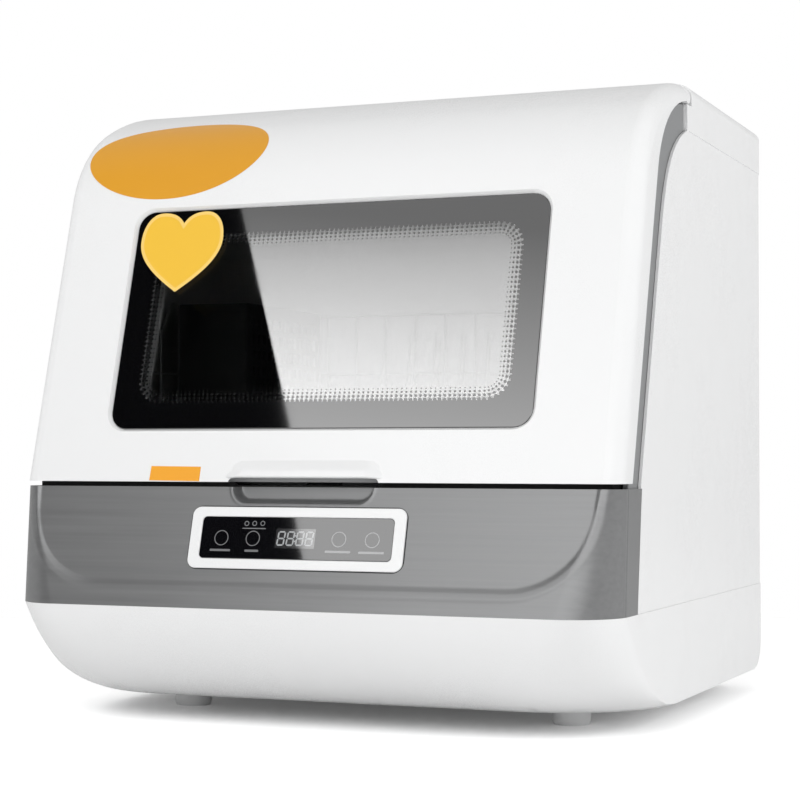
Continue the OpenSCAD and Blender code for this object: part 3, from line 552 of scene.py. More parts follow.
def settle(name: str, mesh: bpy.types.Mesh, finish: Finish, body: str,
           smooth: Optional[float] = 30.0, own: bool = True) -> bpy.types.Object:
    """Puts a mesh in the scene as a finished piece.

    Args:
        name: Its name.
        mesh: Its mesh, in place.
        finish: Its finish.
        body: The body it moves with.
        smooth: Angle below which edges are shaded smooth, in degrees.
        own: False when its faces have the finish already.

    Returns:
        The object.
    """
    made = put(name, mesh)
    if own:
        mesh.materials.clear()
        mesh.materials.append(PALETTE[finish])
    if smooth is not None:
        mesh.shade_smooth()
        mesh.set_sharp_from_angle(angle=math.radians(smooth))
    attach(made, body)
    LOG.info("piece %s on %s: %d faces", name, body, len(mesh.polygons))
    return made


@dataclass(frozen=True)
class Dressed:
    """A CAD node that is shown as a merged, smoothly shaded copy with softened edges.

    Attributes:
        node: The node.
        finish: Its finish.
        angle: Angle above which an edge stays sharp, in degrees.
        edge: Width of the softened edges in millimetres.
        warp: Finer shape of the copy, from a point to a point in millimetres.
        painted_shade: Darker finish painted as shade on the faces that its test picks by their middle.
    """

    node: str
    finish: Finish
    angle: float = 30.0
    edge: float = 0.0
    warp: Optional[Callable[[Vector], Vector]] = None
    painted_shade: Optional[tuple[Finish, Callable[[Vector], bool]]] = None

    @classmethod
    def many(cls, names: str, *settings: object) -> tuple["Dressed", ...]:
        """Several nodes, named in one string, with the same settings."""
        return tuple(cls(name, *settings) for name in names.split())

    def build(self, body: str) -> bpy.types.Object:
        """Makes the copy and puts it in the node's place.

        Args:
            body: The node's body.

        Returns:
            The copy.
        """
        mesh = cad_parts[self.node].data.copy()
        work = bmesh.new()
        work.from_mesh(mesh)
        bmesh.ops.remove_doubles(work, verts=work.verts, dist=2e-6)
        bmesh.ops.dissolve_degenerate(work, edges=work.edges, dist=2e-6)
        if self.edge or self.warp:
            bmesh.ops.dissolve_limit(work, angle_limit=math.radians(0.3), verts=work.verts, edges=work.edges)
        picks = [bool(self.painted_shade) and self.painted_shade[1](f.calc_center_median() / MM) for f in work.faces]
        if self.warp:
            for vert in work.verts:
                vert.co = self.warp(vert.co / MM) * MM
        work.to_mesh(mesh)
        work.free()
        mesh.name = f"{self.node}_skin"
        made = settle(f"{self.node}_skin", mesh, self.finish, body, self.angle)
        # The picked faces get a second, darker finish as painted shade.
        if self.painted_shade:
            mesh.materials.append(PALETTE[self.painted_shade[0]])
            mesh.polygons.foreach_set("material_index", [int(pick) for pick in picks])
        if self.edge:
            soften = made.modifiers.new("soften", "BEVEL")
            soften.width, soften.segments = self.edge * MM, 2
            soften.limit_method, soften.angle_limit = "ANGLE", math.radians(self.angle)
            soften.harden_normals = False
        made.modifiers.new("even", "WEIGHTED_NORMAL").keep_sharp = True
        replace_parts(made, self.node)
        return made


def ease(value: float) -> float:
    """Smooth step from 0 to 1."""
    value = min(1.0, max(0.0, value))
    return value * value * (3.0 - 2.0 * value)


def bell(off: float, width: float) -> float:
    """Bell curve of height one."""
    return math.exp(-((off / width) ** 2))


def door_edge(p: Vector) -> Vector:
    """Raises the door's lower edge, less so in the finger scoop, and widens the scoop."""
    up, inside = p.z - LINE.door_z, ease((46.0 - abs(p.x - LINE.scoop_x)) / 5.0)
    rise = 2.7 * max(0.0, 1.0 - up / 8.0) - 2.0 * inside * max(0.0, 1.0 - up / 3.5)
    wide = ease((75.0 - abs(p.x)) / 20.0) * min(1.0, max(0.0, (10.0 - up) / 4.0))
    return Vector((p.x + wide * (0.055 * p.x + LINE.scoop_x), p.y + LINE.lean * rise, p.z + rise))


def in_scoop(middle: Vector) -> bool:
    """True for a face of the finger scoop, below the door's face, which gets painted shade."""
    sunk = (middle.y - LINE.front_y(middle.z)) / LINE.slope
    return abs(middle.x) < 54.5 and 0.05 < middle.z - LINE.door_z < 8.0 and 0.25 < sunk < 12.5


def toe_corner(p: Vector) -> Vector:
    """Trues the base's outer skin and rounds its front corners off more towards the floor."""
    if p.z >= LINE.base_top:
        return p
    near, skin, low = 1.2, 4.5, 38.0
    front, old = LINE.toe_arc(p.z), low + 0.45 * (LINE.base_top - p.z)
    more = 0.035 * max(0.0, low - p.z) ** 2
    across, back = abs(p.x) - (LINE.half_w - old), front + old - p.y
    if across <= 0.0:
        return Vector((p.x, front if abs(p.y - front) < near else p.y, p.z))
    reach = math.hypot(across, back)
    if back <= 0.0 or reach < old - skin:
        return p
    grow = (max(reach, old) if reach > old - near else reach) + more
    x = LINE.half_w - old - more + grow * across / reach
    return Vector((math.copysign(x, p.x), front + old + more - grow * back / reach, p.z))


# ---------------------------------------------------------------- geometry recipes


class Recipe(Tree):
    """Builds a Geometry Nodes tree with named sizes and runs it on a mesh."""

    def __init__(self, name: str, **sizes: float) -> None:
        """Opens a tree.

        Args:
            name: The tree's name.
            sizes: Its named inputs and their values.
        """
        super().__init__(bpy.data.node_groups.new(name, "GeometryNodeTree"))
        face = self.tree.interface
        face.new_socket(name="Geometry", in_out="INPUT", socket_type="NodeSocketGeometry")
        face.new_socket(name="Geometry", in_out="OUTPUT", socket_type="NodeSocketGeometry")
        self.sizes = {}
        for key, value in sizes.items():
            socket = face.new_socket(name=key, in_out="INPUT", socket_type="NodeSocketFloat")
            self.sizes[socket.identifier] = value
        self.start = self.tree.nodes.new("NodeGroupInput")

    def named(self, key: str) -> bpy.types.NodeSocket:
        """Reads a number that the points carry."""
        return self.node("GeometryNodeInputNamedAttribute", {"data_type": "FLOAT"}, Name=key).outputs[0]

    def run(self, name: str, source: bpy.types.Mesh, last: bpy.types.Node, finish: Finish,
            body: str, smooth: Optional[float] = 30.0) -> bpy.types.Object:
        """Closes the tree, runs it on a mesh and keeps the plain result.

        Args:
            name: The piece's name.
            source: The mesh the tree starts from.
            last: Its last node.
            finish: The finish its Set Material node gives.
            body: The body the piece moves with.
            smooth: Angle below which edges are shaded smooth, in degrees.

        Returns:
            The piece.
        """
        real = self.node("GeometryNodeRealizeInstances", Geometry=last)
        dressed = self.node("GeometryNodeSetMaterial", Geometry=real, Material=PALETTE[finish])
        self.node("NodeGroupOutput", Geometry=dressed)
        carrier = put(f"{name}_source", source)
        step = carrier.modifiers.new("recipe", "NODES")
        step.node_group = self.tree
        for identifier, value in self.sizes.items():
            step[identifier] = value
        bpy.context.view_layer.update()
        graph = bpy.context.evaluated_depsgraph_get()
        mesh = bpy.data.meshes.new_from_object(carrier.evaluated_get(graph))
        carrier.modifiers.clear()
        bpy.data.objects.remove(carrier)
        return settle(name, mesh, finish, body, smooth, own=False)


def marks(name: str, points: Sequence[Vector], **values: Sequence[float]) -> bpy.types.Mesh:
    """Makes a mesh of loose points in metres, which carry one number each by attribute name."""
    mesh = bpy.data.meshes.new(name)
    mesh.from_pydata([tuple(p) for p in points], [], [])
    for key, row in values.items():
        mesh.attributes.new(key, "FLOAT", "POINT").data.foreach_set("value", list(row))
    return mesh


def paths(name: str, routes: Sequence[Route]) -> bpy.types.Mesh:
    """Makes a mesh of open polylines that carries each line's radius on its points."""
    points: list[Vector] = []
    edges: list[tuple[int, int]] = []
    gauges: list[float] = []
    for gauge, route in routes:
        edges += [(len(points) + i, len(points) + i + 1) for i in range(len(route) - 1)]
        points += [Vector(p) * MM for p in route]
        gauges += [gauge] * len(route)
    mesh = bpy.data.meshes.new(name)
    mesh.from_pydata([tuple(p) for p in points], edges, [])
    mesh.attributes.new("gauge", "FLOAT", "POINT").data.foreach_set("value", gauges)
    return mesh


def wires(name: str, routes: Sequence[Route], finish: Finish, body: str) -> bpy.types.Object:
    """Sweeps round wires along routes in millimetres and rounds their corners."""
    recipe = Recipe(f"{name}_recipe", Unit=MM, Bend=6.0 * MM)
    line = recipe.node("GeometryNodeMeshToCurve", Mesh=recipe.start.outputs[0])
    rounder = recipe.node("GeometryNodeFilletCurve", {"mode": "POLY"}, Curve=line, Radius="=Bend",
                          Limit_Radius=True, Count=5)
    thick = recipe.node("GeometryNodeSetCurveRadius", Curve=rounder, Radius=recipe.named("gauge"))
    circle = recipe.node("GeometryNodeCurvePrimitiveCircle", Resolution=12, Radius="=Unit")
    swept = recipe.node("GeometryNodeCurveToMesh", Curve=thick, Profile_Curve=circle,
                        Fill_Caps=True)
    return recipe.run(name, paths(f"{name}_lines", routes), swept, finish, body, 50.0)


# ---------------------------------------------------------------- sub-assemblies

CASE, DOOR, BASKET = "cabinet", "door", "basket"


@dataclass
class Window:
    """Door glass with its black printed border and halftone dots.

    Attributes:
        side: Width of the border at the sides.
        level: Width of the border above and below.
        corner: Corner radius of the clear field.
        shift: Place of the clear field across.
        pitch: Distance between dots.
        rows: Each row's distance from the border and its dots' radius.
    """

    side: float = 17.0
    level: float = 18.4
    corner: float = 17.5
    shift: float = 0.7
    pitch: float = 3.4
    rows: tuple[Point, ...] = ((0.5, 1.38), (3.3, 1.0), (6.0, 0.74), (8.3, 0.42))

    def clear(self, within: float, n: int = 12) -> list[Point]:
        """Outline of the clear field, moved inwards."""
        return rounded(LINE.glass_w - 2 * (self.side + within), LINE.glass_h - 2 * (self.level + within),
                       self.corner - within, n, self.shift)

    def border(self) -> bpy.types.Object:
        """Builds the black border, with its outer edge ground off."""
        top, back = -LINE.glass_sink, -LINE.glass_sink - LINE.glass_t
        outer = rounded(LINE.glass_w, LINE.glass_h, 12.5, 12)
        clear, cut = self.clear(0.0), ((0.12, 0.12), (0.4, 0.0))
        levels = [(outer, back), (outer, top - 0.4), *((inset(outer, d), top - z) for d, z in cut),
                  (clear, top), (clear, back), (outer, back)]
        rings = [[(*p, z) for p in ring] for ring, z in levels]
        shape = Shape().loft(rings, LINE.on_glass(), start=False, end=False)
        return shape.piece("window_border", Finish.BORDER, DOOR, 20.0)

    def pane(self) -> bpy.types.Object:
        """Builds the clear field, just under the level of the dots."""
        top, back = -LINE.glass_sink - 0.12, -LINE.glass_sink - LINE.glass_t
        shape = Shape().plate(self.clear(0.05), back, top, LINE.on_glass())
        made = shape.piece("window_pane", Finish.DOOR_GLASS, DOOR)
        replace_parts(made, "door_glass")
        return made

    def spots(self) -> tuple[list[Vector], list[float]]:
        """Places the dots in columns square to the border.

        Returns:
            Their points in metres and their radii in metres.
        """
        loop = [Vector(p) for p in self.clear(self.rows[1][0], 24)]
        loop.append(loop[0])
        steps = [(b - a).length for a, b in zip(loop, loop[1:])]
        count = round(sum(steps) / self.pitch)
        gap, run, i = sum(steps) / count, 0.0, 0
        points, sizes = [], []
        for k in range(count):
            while run + steps[i] < k * gap:
                run += steps[i]
                i += 1
            along = (loop[i + 1] - loop[i]).normalized()
            at = loop[i].lerp(loop[i + 1], (k * gap - run) / max(steps[i], 1e-9))
            for off, radius in self.rows:
                spot = at + Vector((-along.y, along.x)) * (off - self.rows[1][0])
                points.append(LINE.on_glass() @ Vector((spot.x, spot.y, -LINE.glass_sink - 0.06)))
                sizes.append(radius * MM)
        return points, sizes

    def dots(self) -> bpy.types.Object:
        """Builds the dots by geometry nodes."""
        points, sizes = self.spots()
        recipe = Recipe("halftone", Thickness=0.1 * MM, Lean=LINE.front_angle)
        dot = recipe.node("GeometryNodeMeshCylinder", {"fill_type": "NGON"}, Vertices=12, Radius=1.0,
                          Depth="=Thickness")
        size = recipe.named("size")
        scale = recipe.node("ShaderNodeCombineXYZ", X=size, Y=size, Z=1.0)
        lean = recipe.node("ShaderNodeCombineXYZ", X="=Lean")
        placed = recipe.node("GeometryNodeInstanceOnPoints", Points=recipe.start.outputs[0],
                             Instance=dot, Rotation=lean, Scale=scale)
        return recipe.run("window_dots", marks("window_spots", points, size=sizes), placed,
                          Finish.BORDER, DOOR, None)

    def build(self) -> None:
        """Builds the border, the pane and the dots."""
        self.border()
        self.pane()
        self.dots()


@dataclass
class Band:
    """Grey band with its sunk field and finger pocket, as one fine skin.

    Attributes:
        low: Height of its lower edge.
        top: Height of its upper edge.
        wall: Its thickness.
        sunk: Depth of the field.
        bead: Height of the soft bead round it.
        pocket: Depth of the finger pocket.
        rear: Depth at which it ends behind its upper edge.
        rows: Rows of faces up the skin.
        columns: Rows of faces across the front.
        corner: Corner radius at its lower edge.
        field: Half width of the field's straight part, its radius and the height of its middle.
        grip: Half width of the finger pocket's straight part and its radius.
    """

    low: float = 82.0
    top: float = 161.4
    wall: float = 3.0
    sunk: float = 1.2
    bead: float = 0.3
    pocket: float = 8.0
    rear: float = -152.0
    rows: int = 96
    columns: int = 440
    corner: float = 38.0
    field: Point3 = (145.0, 58.0, 151.6)
    grip: Point = (39.2, 11.4)

    def case_y(self, z: float) -> float:
        """Depth of the side panel's front edge, which bends at a knee."""
        knee, depth, below, above = 118.0, -158.6, 3.4 / 36.0, 7.7 / 46.0
        return depth + (z - knee) * (below if z < knee else above)

    def stations(self) -> list[tuple[int, float, float]]:
        """Columns from the right rear end round the front to the left.

        Returns:
            For each its side, its share of the side wall, and its turn in the corner or share of the front.
        """
        walls = [0.0, 0.25, 0.5, 0.65, 0.75] + [0.8 + 0.02 * i for i in range(10)]
        turns = [float(a) for a in range(0, 15)] + [17.0 + 3.5 * i for i in range(21)] + [88.5]
        half = [(1, u, 0.0) for u in walls] + [(1, 1.0, a) for a in turns]
        front = [(0, 0.0, 1.0 - 2.0 * i / self.columns) for i in range(self.columns + 1)]
        return half + front + [(-1, u, a) for _, u, a in reversed(half)]

    def place(self, at: tuple[int, float, float], z: float, deep: float) -> Vector:
        """Point of the skin at a column and height.

        Args:
            at: The column.
            z: The height.
            deep: Distance inside the plain outline.

        Returns:
            The point in millimetres.
        """
        side, u, turn = at
        r, front = self.corner - (z - self.low) * 0.29, LINE.front_y(z)
        if side == 0:
            return Vector((turn * (LINE.half_w - r), front + deep, z))
        a = math.radians(turn)
        y = front + r - (r - deep) * math.sin(a)
        if turn == 0.0:
            y = self.case_y(z) + u * (front + r - self.case_y(z))
        return Vector((side * (LINE.half_w - r + (r - deep) * math.cos(a)), y, z))

    def edge(self, x: float, z: float) -> float:
        """Distance inside the edge of the sunk field."""
        half, radius, middle = self.field
        y, out = (z - middle) * LINE.slope, max(abs(x) - half, 0.0)
        return radius - math.hypot(out, y) if y <= 0.0 else radius + 0.075 * y - out

    def scoop(self, x: float, z: float) -> float:
        """Distance inside the edge of the finger pocket."""
        out, down = abs(x - LINE.scoop_x) - self.grip[0], -(z - self.top) * LINE.slope
        return self.grip[1] - (math.hypot(out, down) if out > 0.0 and down > 0.0 else max(out, down))

    def relief(self, x: float, z: float) -> tuple[float, float]:
        """Depth of the field and pocket, and height of the beads round them."""
        edge, scoop = self.edge(x, z), self.scoop(x, z)
        low = self.sunk * ease(edge / 4.6) + self.pocket * (1.0 - math.exp(-((max(0.0, scoop) / 1.6) ** 2.4)))
        return low, self.bead * (bell(edge + 2.8, 1.9) + bell(scoop + 0.9, 0.8))

    def seam(self, y: float, z: float) -> float:
        """Depth of the fine groove at the corners' rear ends."""
        return 0.5 * bell(y + 189.8 - (z - self.low) * 0.085, 0.75)

    def point(self, at: tuple[int, float, float], z: float, deep: float = 0.0) -> Point3:
        """Point of the finished skin, at a distance inside it."""
        plain = self.place(at, z, deep)
        low, high = self.relief(plain.x, z)
        groove = self.seam(plain.y, z) if at[0] else 0.0
        plain = self.place(at, z, deep + groove - (high if low < 1e-4 else 0.0))
        floor = LINE.front_y(z) + (low - high) * LINE.slope + deep
        return (plain.x, max(plain.y, floor) if low >= 1e-4 else plain.y, z)

    def build(self) -> bpy.types.Object:
        """Builds the skin in the fascia's place, and a near-black strip in the gap above it as painted shade.
        """
        up = [self.low + (self.top - self.low) * i / self.rows for i in range(self.rows + 1)]
        shelf = self.top - 2.1
        down = [shelf - 3.0 - (shelf - 3.0 - self.low) * i / 18 for i in range(19)]
        rings, strip = [], []
        for at in self.stations():
            lip = self.point(at, self.top, 2.4)
            back = (self.place(at, self.top, 0.0).x * 0.9, self.rear)
            rings.append([self.point(at, z) for z in up]
                         + [lip, (*lip[:2], shelf), (*back, shelf), (*back, shelf - 3.0)]
                         + [self.point(at, z, self.wall) for z in down])
            near = self.place(at, self.top, 8.0)
            pocket = abs(near.x - LINE.scoop_x) < 52.0 and near.y < 0.0
            rise, deep = (0.9, 9.8) if pocket else (3.1, 8.0)
            low, high = shelf + 0.1, self.top + rise
            near, far = (self.place(at, self.top, d)[:2] for d in (deep, deep + 2.0))
            strip.append([(*near, low), (*near, high), (*far, high), (*far, low)])
        made = Shape().loft(rings).piece("band_skin", Finish.SATIN, CASE, 40.0)
        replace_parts(made, "front_fascia")
        # Near-black strip that stands in for the shade in the gap between band and door.
        Shape().loft(strip).piece("gap_strip", Finish.VOID, CASE)
        return made


@dataclass
class Controls:
    """Black touch panel with its rings, lamps and display.

    Attributes:
        centre: Height of the panel's middle.
        shift: Its place across.
        width: Its width.
        height: Its height.
        keys: Middles of the touch rings.
        labels: Length of the plain bar under each ring.
        lamps: Middles of the three lamp rings.
        display: Middle of the display.
        skin: Levels between which the prints lie on the glass.
        lit: Levels between which the figures lie on the display.
        slant: Lean of the figures.
    """

    centre: float = 128.35
    shift: float = -1.5
    width: float = 137.4
    height: float = 28.2
    keys: tuple[Point, ...] = ((-53.6, -0.3), (-30.55, -0.4), (31.2, -0.1), (54.6, -0.3))
    labels: tuple[float, ...] = (15.0, 10.0, 18.0, 18.0)
    lamps: tuple[Point, ...] = ((-36.2, 9.6), (-30.5, 9.7), (-24.6, 9.8))
    display: Point = (0.05, -0.1)
    skin: Point = (-0.21, -0.15)
    lit: Point = (-0.17, -0.12)
    slant: float = 0.1

    @property
    def place(self) -> Matrix:
        """Frame in the panel's middle."""
        return LINE.on_front(self.centre) @ Matrix.Translation((self.shift, 0.0, 0.0))

    def gap(self) -> bpy.types.Object:
        """Builds a black ring in the seam between the bezel and the band, as a painted shadow line round the
        bezel.
        """
        outer, inner = (rounded(153.8 + 2 * m, 41.6 + 2 * m, 7.0 + m, 10) for m in (0.75, -0.6))
        return Shape().band(outer, inner, -2.2, -1.0, self.place).piece("bezel_seam", Finish.BLACK, CASE)

    def glass(self) -> bpy.types.Object:
        """Builds the black plate over the whole panel."""
        shape = Shape().plate(rounded(self.width, self.height, 3.0, 8), -1.2, -0.2, self.place, 0.3)
        made = shape.piece("panel_glass", Finish.BLACK_GLASS, CASE, 12.0)
        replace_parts(made, "control_panel")
        return made

    def rings(self) -> bpy.types.Object:
        """Builds the printed rings of the keys and lamps."""
        shape, line = Shape(), 0.6
        for spots, radius, n in ((self.keys, 5.15, 40), (self.lamps, 1.75, 20)):
            for x, y in spots:
                outer, inner = (arc(x, y, r, 0, 360 - 360 / n, n - 1) for r in (radius, radius - line))
                shape.band(outer, inner, *self.skin, self.place)
        return shape.piece("panel_rings", Finish.MARK, CASE)

    def bars(self) -> bpy.types.Object:
        """Builds the plain bars under the keys and lamps."""
        shape, (x, y) = Shape(), self.lamps[1]
        bars = [(long, 1.5, 0.5, 3, x, y - 8.3) for (x, y), long in zip(self.keys, self.labels)]
        for bar in bars + [(17.0, 0.7, 0.3, 3, x, y - 3.4)]:
            shape.plate(rounded(*bar), *self.skin, self.place)
        return shape.piece("panel_bars", Finish.MARK, CASE)

    def screen(self) -> bpy.types.Object:
        """Builds the smoked field behind the digits."""
        outline = rounded(28.3, 13.0, 0.4, 3, *self.display)
        shape = Shape().plate(outline, self.skin[0], self.lit[0], self.place)
        return shape.piece("display_field", Finish.SCREEN, CASE)

    def digits(self) -> bpy.types.Object:
        """Builds four figures of seven bars and the colon between them."""
        shape, (left, low) = Shape(), self.display
        w, h, tip = 4.6, 8.8, 0.5
        bars = [(0, y, w, False) for y in (-h / 2, 0.0, h / 2)]
        bars += [(sx * w / 2, sy * h / 4, h / 2, True) for sx in (-1, 1) for sy in (-1, 1)]
        for cx in (-10.1, -3.4, 3.4, 10.1):
            for x, y, length, upright in bars:
                half = length / 2 - 0.2
                bar = [(-half, 0), (-half + tip, -tip), (half - tip, -tip),
                       (half, 0), (half - tip, tip), (-half + tip, tip)]
                bar = [(-v, u) for u, v in bar] if upright else bar
                at = [(left + cx + x + u + self.slant * (y + v), low + y + v) for u, v in bar]
                shape.plate(at, *self.lit, self.place)
        for y in (-1.9, 1.9):
            shape.plate(rounded(1.0, 1.0, 0.45, 3, left + self.slant * y, low + y), *self.lit, self.place)
        return shape.piece("display_digits", Finish.LIT, CASE)

    def build(self) -> None:
        """Builds the panel's pieces."""
        for part in (self.gap, self.glass, self.rings, self.bars, self.screen, self.digits):
            part()


@dataclass
class Stickers:
    """Three plain stickers on the door, without words or signs.

    Attributes:
        thick: Their thickness.
    """

    thick: float = 0.14

    def lay(self, name: str, outline: Sequence[Point], finish: Finish,
            lift: float = 0.03) -> bpy.types.Object:
        """Lays a sticker with a counter-clockwise outline at a lift above the curved face."""
        n = len(outline)
        cx, cy = (sum(p[axis] for p in outline) / n for axis in (0, 1))
        steps = [(k / 12, lift) for k in range(1, 13)] + [(1 - k / 12, lift + self.thick) for k in range(12)]
        rings = [[tuple(LINE.door_point(cx + (x - cx) * f, cy + (y - cy) * f, z) / MM) for x, y in outline]
                 for f, z in steps]
        return Shape().loft(rings).piece(name, finish, DOOR)

    def heart(self, inset_by: float) -> list[Point]:
        """Outline of the heart, counter-clockwise, moved inwards by a distance."""
        cx = -117.2
        legs = (((0.0, 191.0), (4.0, 197.6), (10.5, 199.4), (17.5, 199.2)),
                ((17.5, 199.2), (26.5, 198.9), (32.3, 190.5), (32.3, 178.0)),
                ((32.3, 178.0), (32.3, 163.0), (15.5, 150.5), (0.0, 139.8)))
        side = []
        for leg in legs:
            for i in range(14):
                t = i / 14
                part = ((1 - t) ** 3, 3 * t * (1 - t) ** 2, 3 * t * t * (1 - t), t ** 3)
                side.append(tuple(sum(k * p[axis] for k, p in zip(part, leg)) for axis in (0, 1)))
        right = side + [(0.0, 139.8)]
        loop = [(cx + x, y) for x, y in reversed(right)] + [(cx - x, y) for x, y in right[1:-1]]
        return inset(loop, inset_by)

    def build(self) -> None:
        """Lays the oval, the heart and the strip."""
        turn = Matrix.Rotation(math.radians(1.4), 2)
        oval = [Vector((-133.8, 249.9)) + turn @ Vector((70.5 * math.cos(t), 40.5 * math.sin(t)))
                for t in (2 * math.pi * i / 96 for i in range(96))]
        self.lay("sticker_oval", oval, Finish.AMBER)
        self.lay("sticker_strip", [(-115.2, 3.6), (-77.2, 3.2), (-77.2, 13.2), (-114.9, 13.6)], Finish.ORANGE)
        top = -LINE.glass_sink
        for name, within, lift, finish in (("sticker_heart_edge", 0.0, top + 0.03, Finish.YELLOW_EDGE),
                                           ("sticker_heart", 2.4, top + 0.06, Finish.YELLOW)):
            self.lay(name, self.heart(within), finish, lift)


@dataclass
class Basket:
    """Coated wire basket, with every bend as the wire has it.

    Attributes:
        floor: Height of the floor wires.
        half: Half width.
        front: Front frame.
        back: Rear frame.
        low: Height of the front rim.
        step: Height of the sides' front part.
        rim: Height of the sides' rear part and of the rear rim.
        rise: Depths between which the sides' rims rise.
        columns: Places of the upright wires and floor wires across.
        thin: Radius of a grid wire.
        thick: Radius of a frame wire.
    """

    floor: float = 207.8
    half: float = 176.0
    front: float = -130.0
    back: float = 128.0
    low: float = 218.0
    step: float = 277.0
    rim: float = 298.0
    rise: Point = (-71.0, -57.0)
    columns: tuple[float, ...] = tuple(i * 26.0 for i in range(-6, 7))
    thin: float = 1.5
    thick: float = 2.2

    def side_height(self, y: float) -> float:
        """Height of the side rim at a depth."""
        share = (y - self.rise[0]) / (self.rise[1] - self.rise[0])
        return self.step + (self.rim - self.step) * min(1.0, max(0.0, share))

    def across(self, gauge: float, y: float, z: float) -> Route:
        """A wire from side to side."""
        return gauge, [(-self.half, y, z), (self.half, y, z)]

    def along(self, gauge: float, x: float, z: float) -> Route:
        """A wire from front to back."""
        return gauge, [(x, self.front, z), (x, self.back, z)]

    def grid(self) -> list[Route]:
        """Wires of the floor."""
        lines = [self.along(self.thin, x, self.floor) for x in self.columns]
        lines += [self.across(self.thin, self.front + 18 + j * 32, self.floor - 2.4) for j in range(8)]
        lines += [self.along(self.thick, s * self.half, self.floor - 2) for s in (-1, 1)]
        return lines + [self.across(self.thick, y, self.floor) for y in (self.front, self.back)]

    def ends(self) -> list[Route]:
        """Wires of the low front end and the rear end."""
        lines = [self.across(self.thin, self.back, 250.0)]
        for y, z in ((self.front, self.low), (self.back, self.rim)):
            lines.append(self.across(self.thick, y, z))
            lines += [(self.thin, [(x, y, self.floor), (x, y, z)]) for x in self.columns]
        return lines

    def sides(self) -> list[Route]:
        """Wires of the sides with their stepped rims."""
        lines = []
        route = ((self.front, self.low), (self.front, self.step), (self.rise[0], self.step),
                 (self.rise[1], self.rim), (self.back, self.rim))
        for x in (-self.half, self.half):
            lines += [(self.thick, [(x, y, z) for y, z in route]), self.along(self.thin, x, 244.0)]
            lines += [(self.thin, [(x, y, self.floor - 1), (x, y, self.side_height(y))])
                      for y in (self.front + 28.0 * j for j in range(10))]
        return lines

    def tines(self) -> list[Route]:
        """Wires of the two rows that plates stand in."""
        lines = []
        for y in (12.0, 76.0):
            lines.append((self.thin, [(-40, y, self.floor + 3), (160, y, self.floor + 3)]))
            lines += [(self.thin, [(x, y, self.floor + 2), (x, y + 14, 276)]) for x in range(-36, 154, 21)]
        return lines

    def build(self) -> None:
        """Builds the basket in its nodes' places."""
        for name, lines, node in (("basket_floor_wires", self.grid(), "basket_floor"),
                                  ("basket_end_wires", self.ends(), "basket_ends"),
                                  ("basket_side_wires", self.sides(), "basket_sides"),
                                  ("plate_tine_wires", self.tines(), "plate_tines")):
            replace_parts(wires(name, lines, Finish.WIRE, BASKET), node)


@dataclass
class Screws:
    """Pan-head screws with a cross recess, set by geometry nodes.

    Attributes:
        radius: Radius of the head.
        rise: Height of the head.
    """

    radius: float = 4.0
    rise: float = 1.6

    def head(self) -> bpy.types.Mesh:
        """Makes one head about +Z, in metres."""
        shape = Shape()
        r, h = self.radius, self.rise
        rings = [arc(0, 0, q, 0, 345, 23) for q in (r, r, r * 0.93, r * 0.72)]
        star = []
        for k in range(24):
            a = math.radians(15 * k)
            near = min(k % 6, 6 - k % 6)
            reach = r * 0.55 if near <= 1 else r * 0.16
            star.append((reach * math.cos(a), reach * math.sin(a)))
        levels = [0.0, h * 0.45, h * 0.8, h]
        loops = [[(*p, z) for p in ring] for ring, z in zip(rings, levels)]
        loops += [[(*p, h) for p in star], [(p[0] * 0.8, p[1] * 0.8, h * 0.3) for p in star]]
        shape.loft(loops)
        mesh = bpy.data.meshes.new("screw_head")
        mesh.from_pydata(shape.points, [], shape.faces)
        weld(mesh, 1e-8)
        return mesh

    def build(self, name: str, spots: Sequence[tuple[Vector, float, float]], node: str,
              body: str) -> bpy.types.Object:
        """Sets the screws of one body.

        Args:
            name: The piece's name.
            spots: Each screw's place in metres, turn about X and own turn, in radians.
            node: The CAD node they stand for.
            body: The body they move with.

        Returns:
            The piece.
        """
        head = bpy.data.objects.new("screw_sample", self.head())
        recipe = Recipe(f"{name}_recipe", Size=1.0)
        sample = recipe.node("GeometryNodeObjectInfo", Object=head)
        turn = recipe.node("ShaderNodeCombineXYZ", X=recipe.named("tip"))
        placed = recipe.node("GeometryNodeInstanceOnPoints", Points=recipe.start.outputs[0],
                             Instance=sample.outputs["Geometry"], Rotation=turn, Scale="=Size")
        own = recipe.node("ShaderNodeCombineXYZ", Z=recipe.named("spin"))
        turned = recipe.node("GeometryNodeRotateInstances", Instances=placed, Rotation=own,
                             Local_Space=True)
        places, tips, spins = zip(*spots)
        source = marks(f"{name}_spots", places, tip=tips, spin=spins)
        made = recipe.run(name, source, turned, Finish.STEEL, body, 30.0)
        bpy.data.objects.remove(head)
        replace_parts(made, node)
        return made


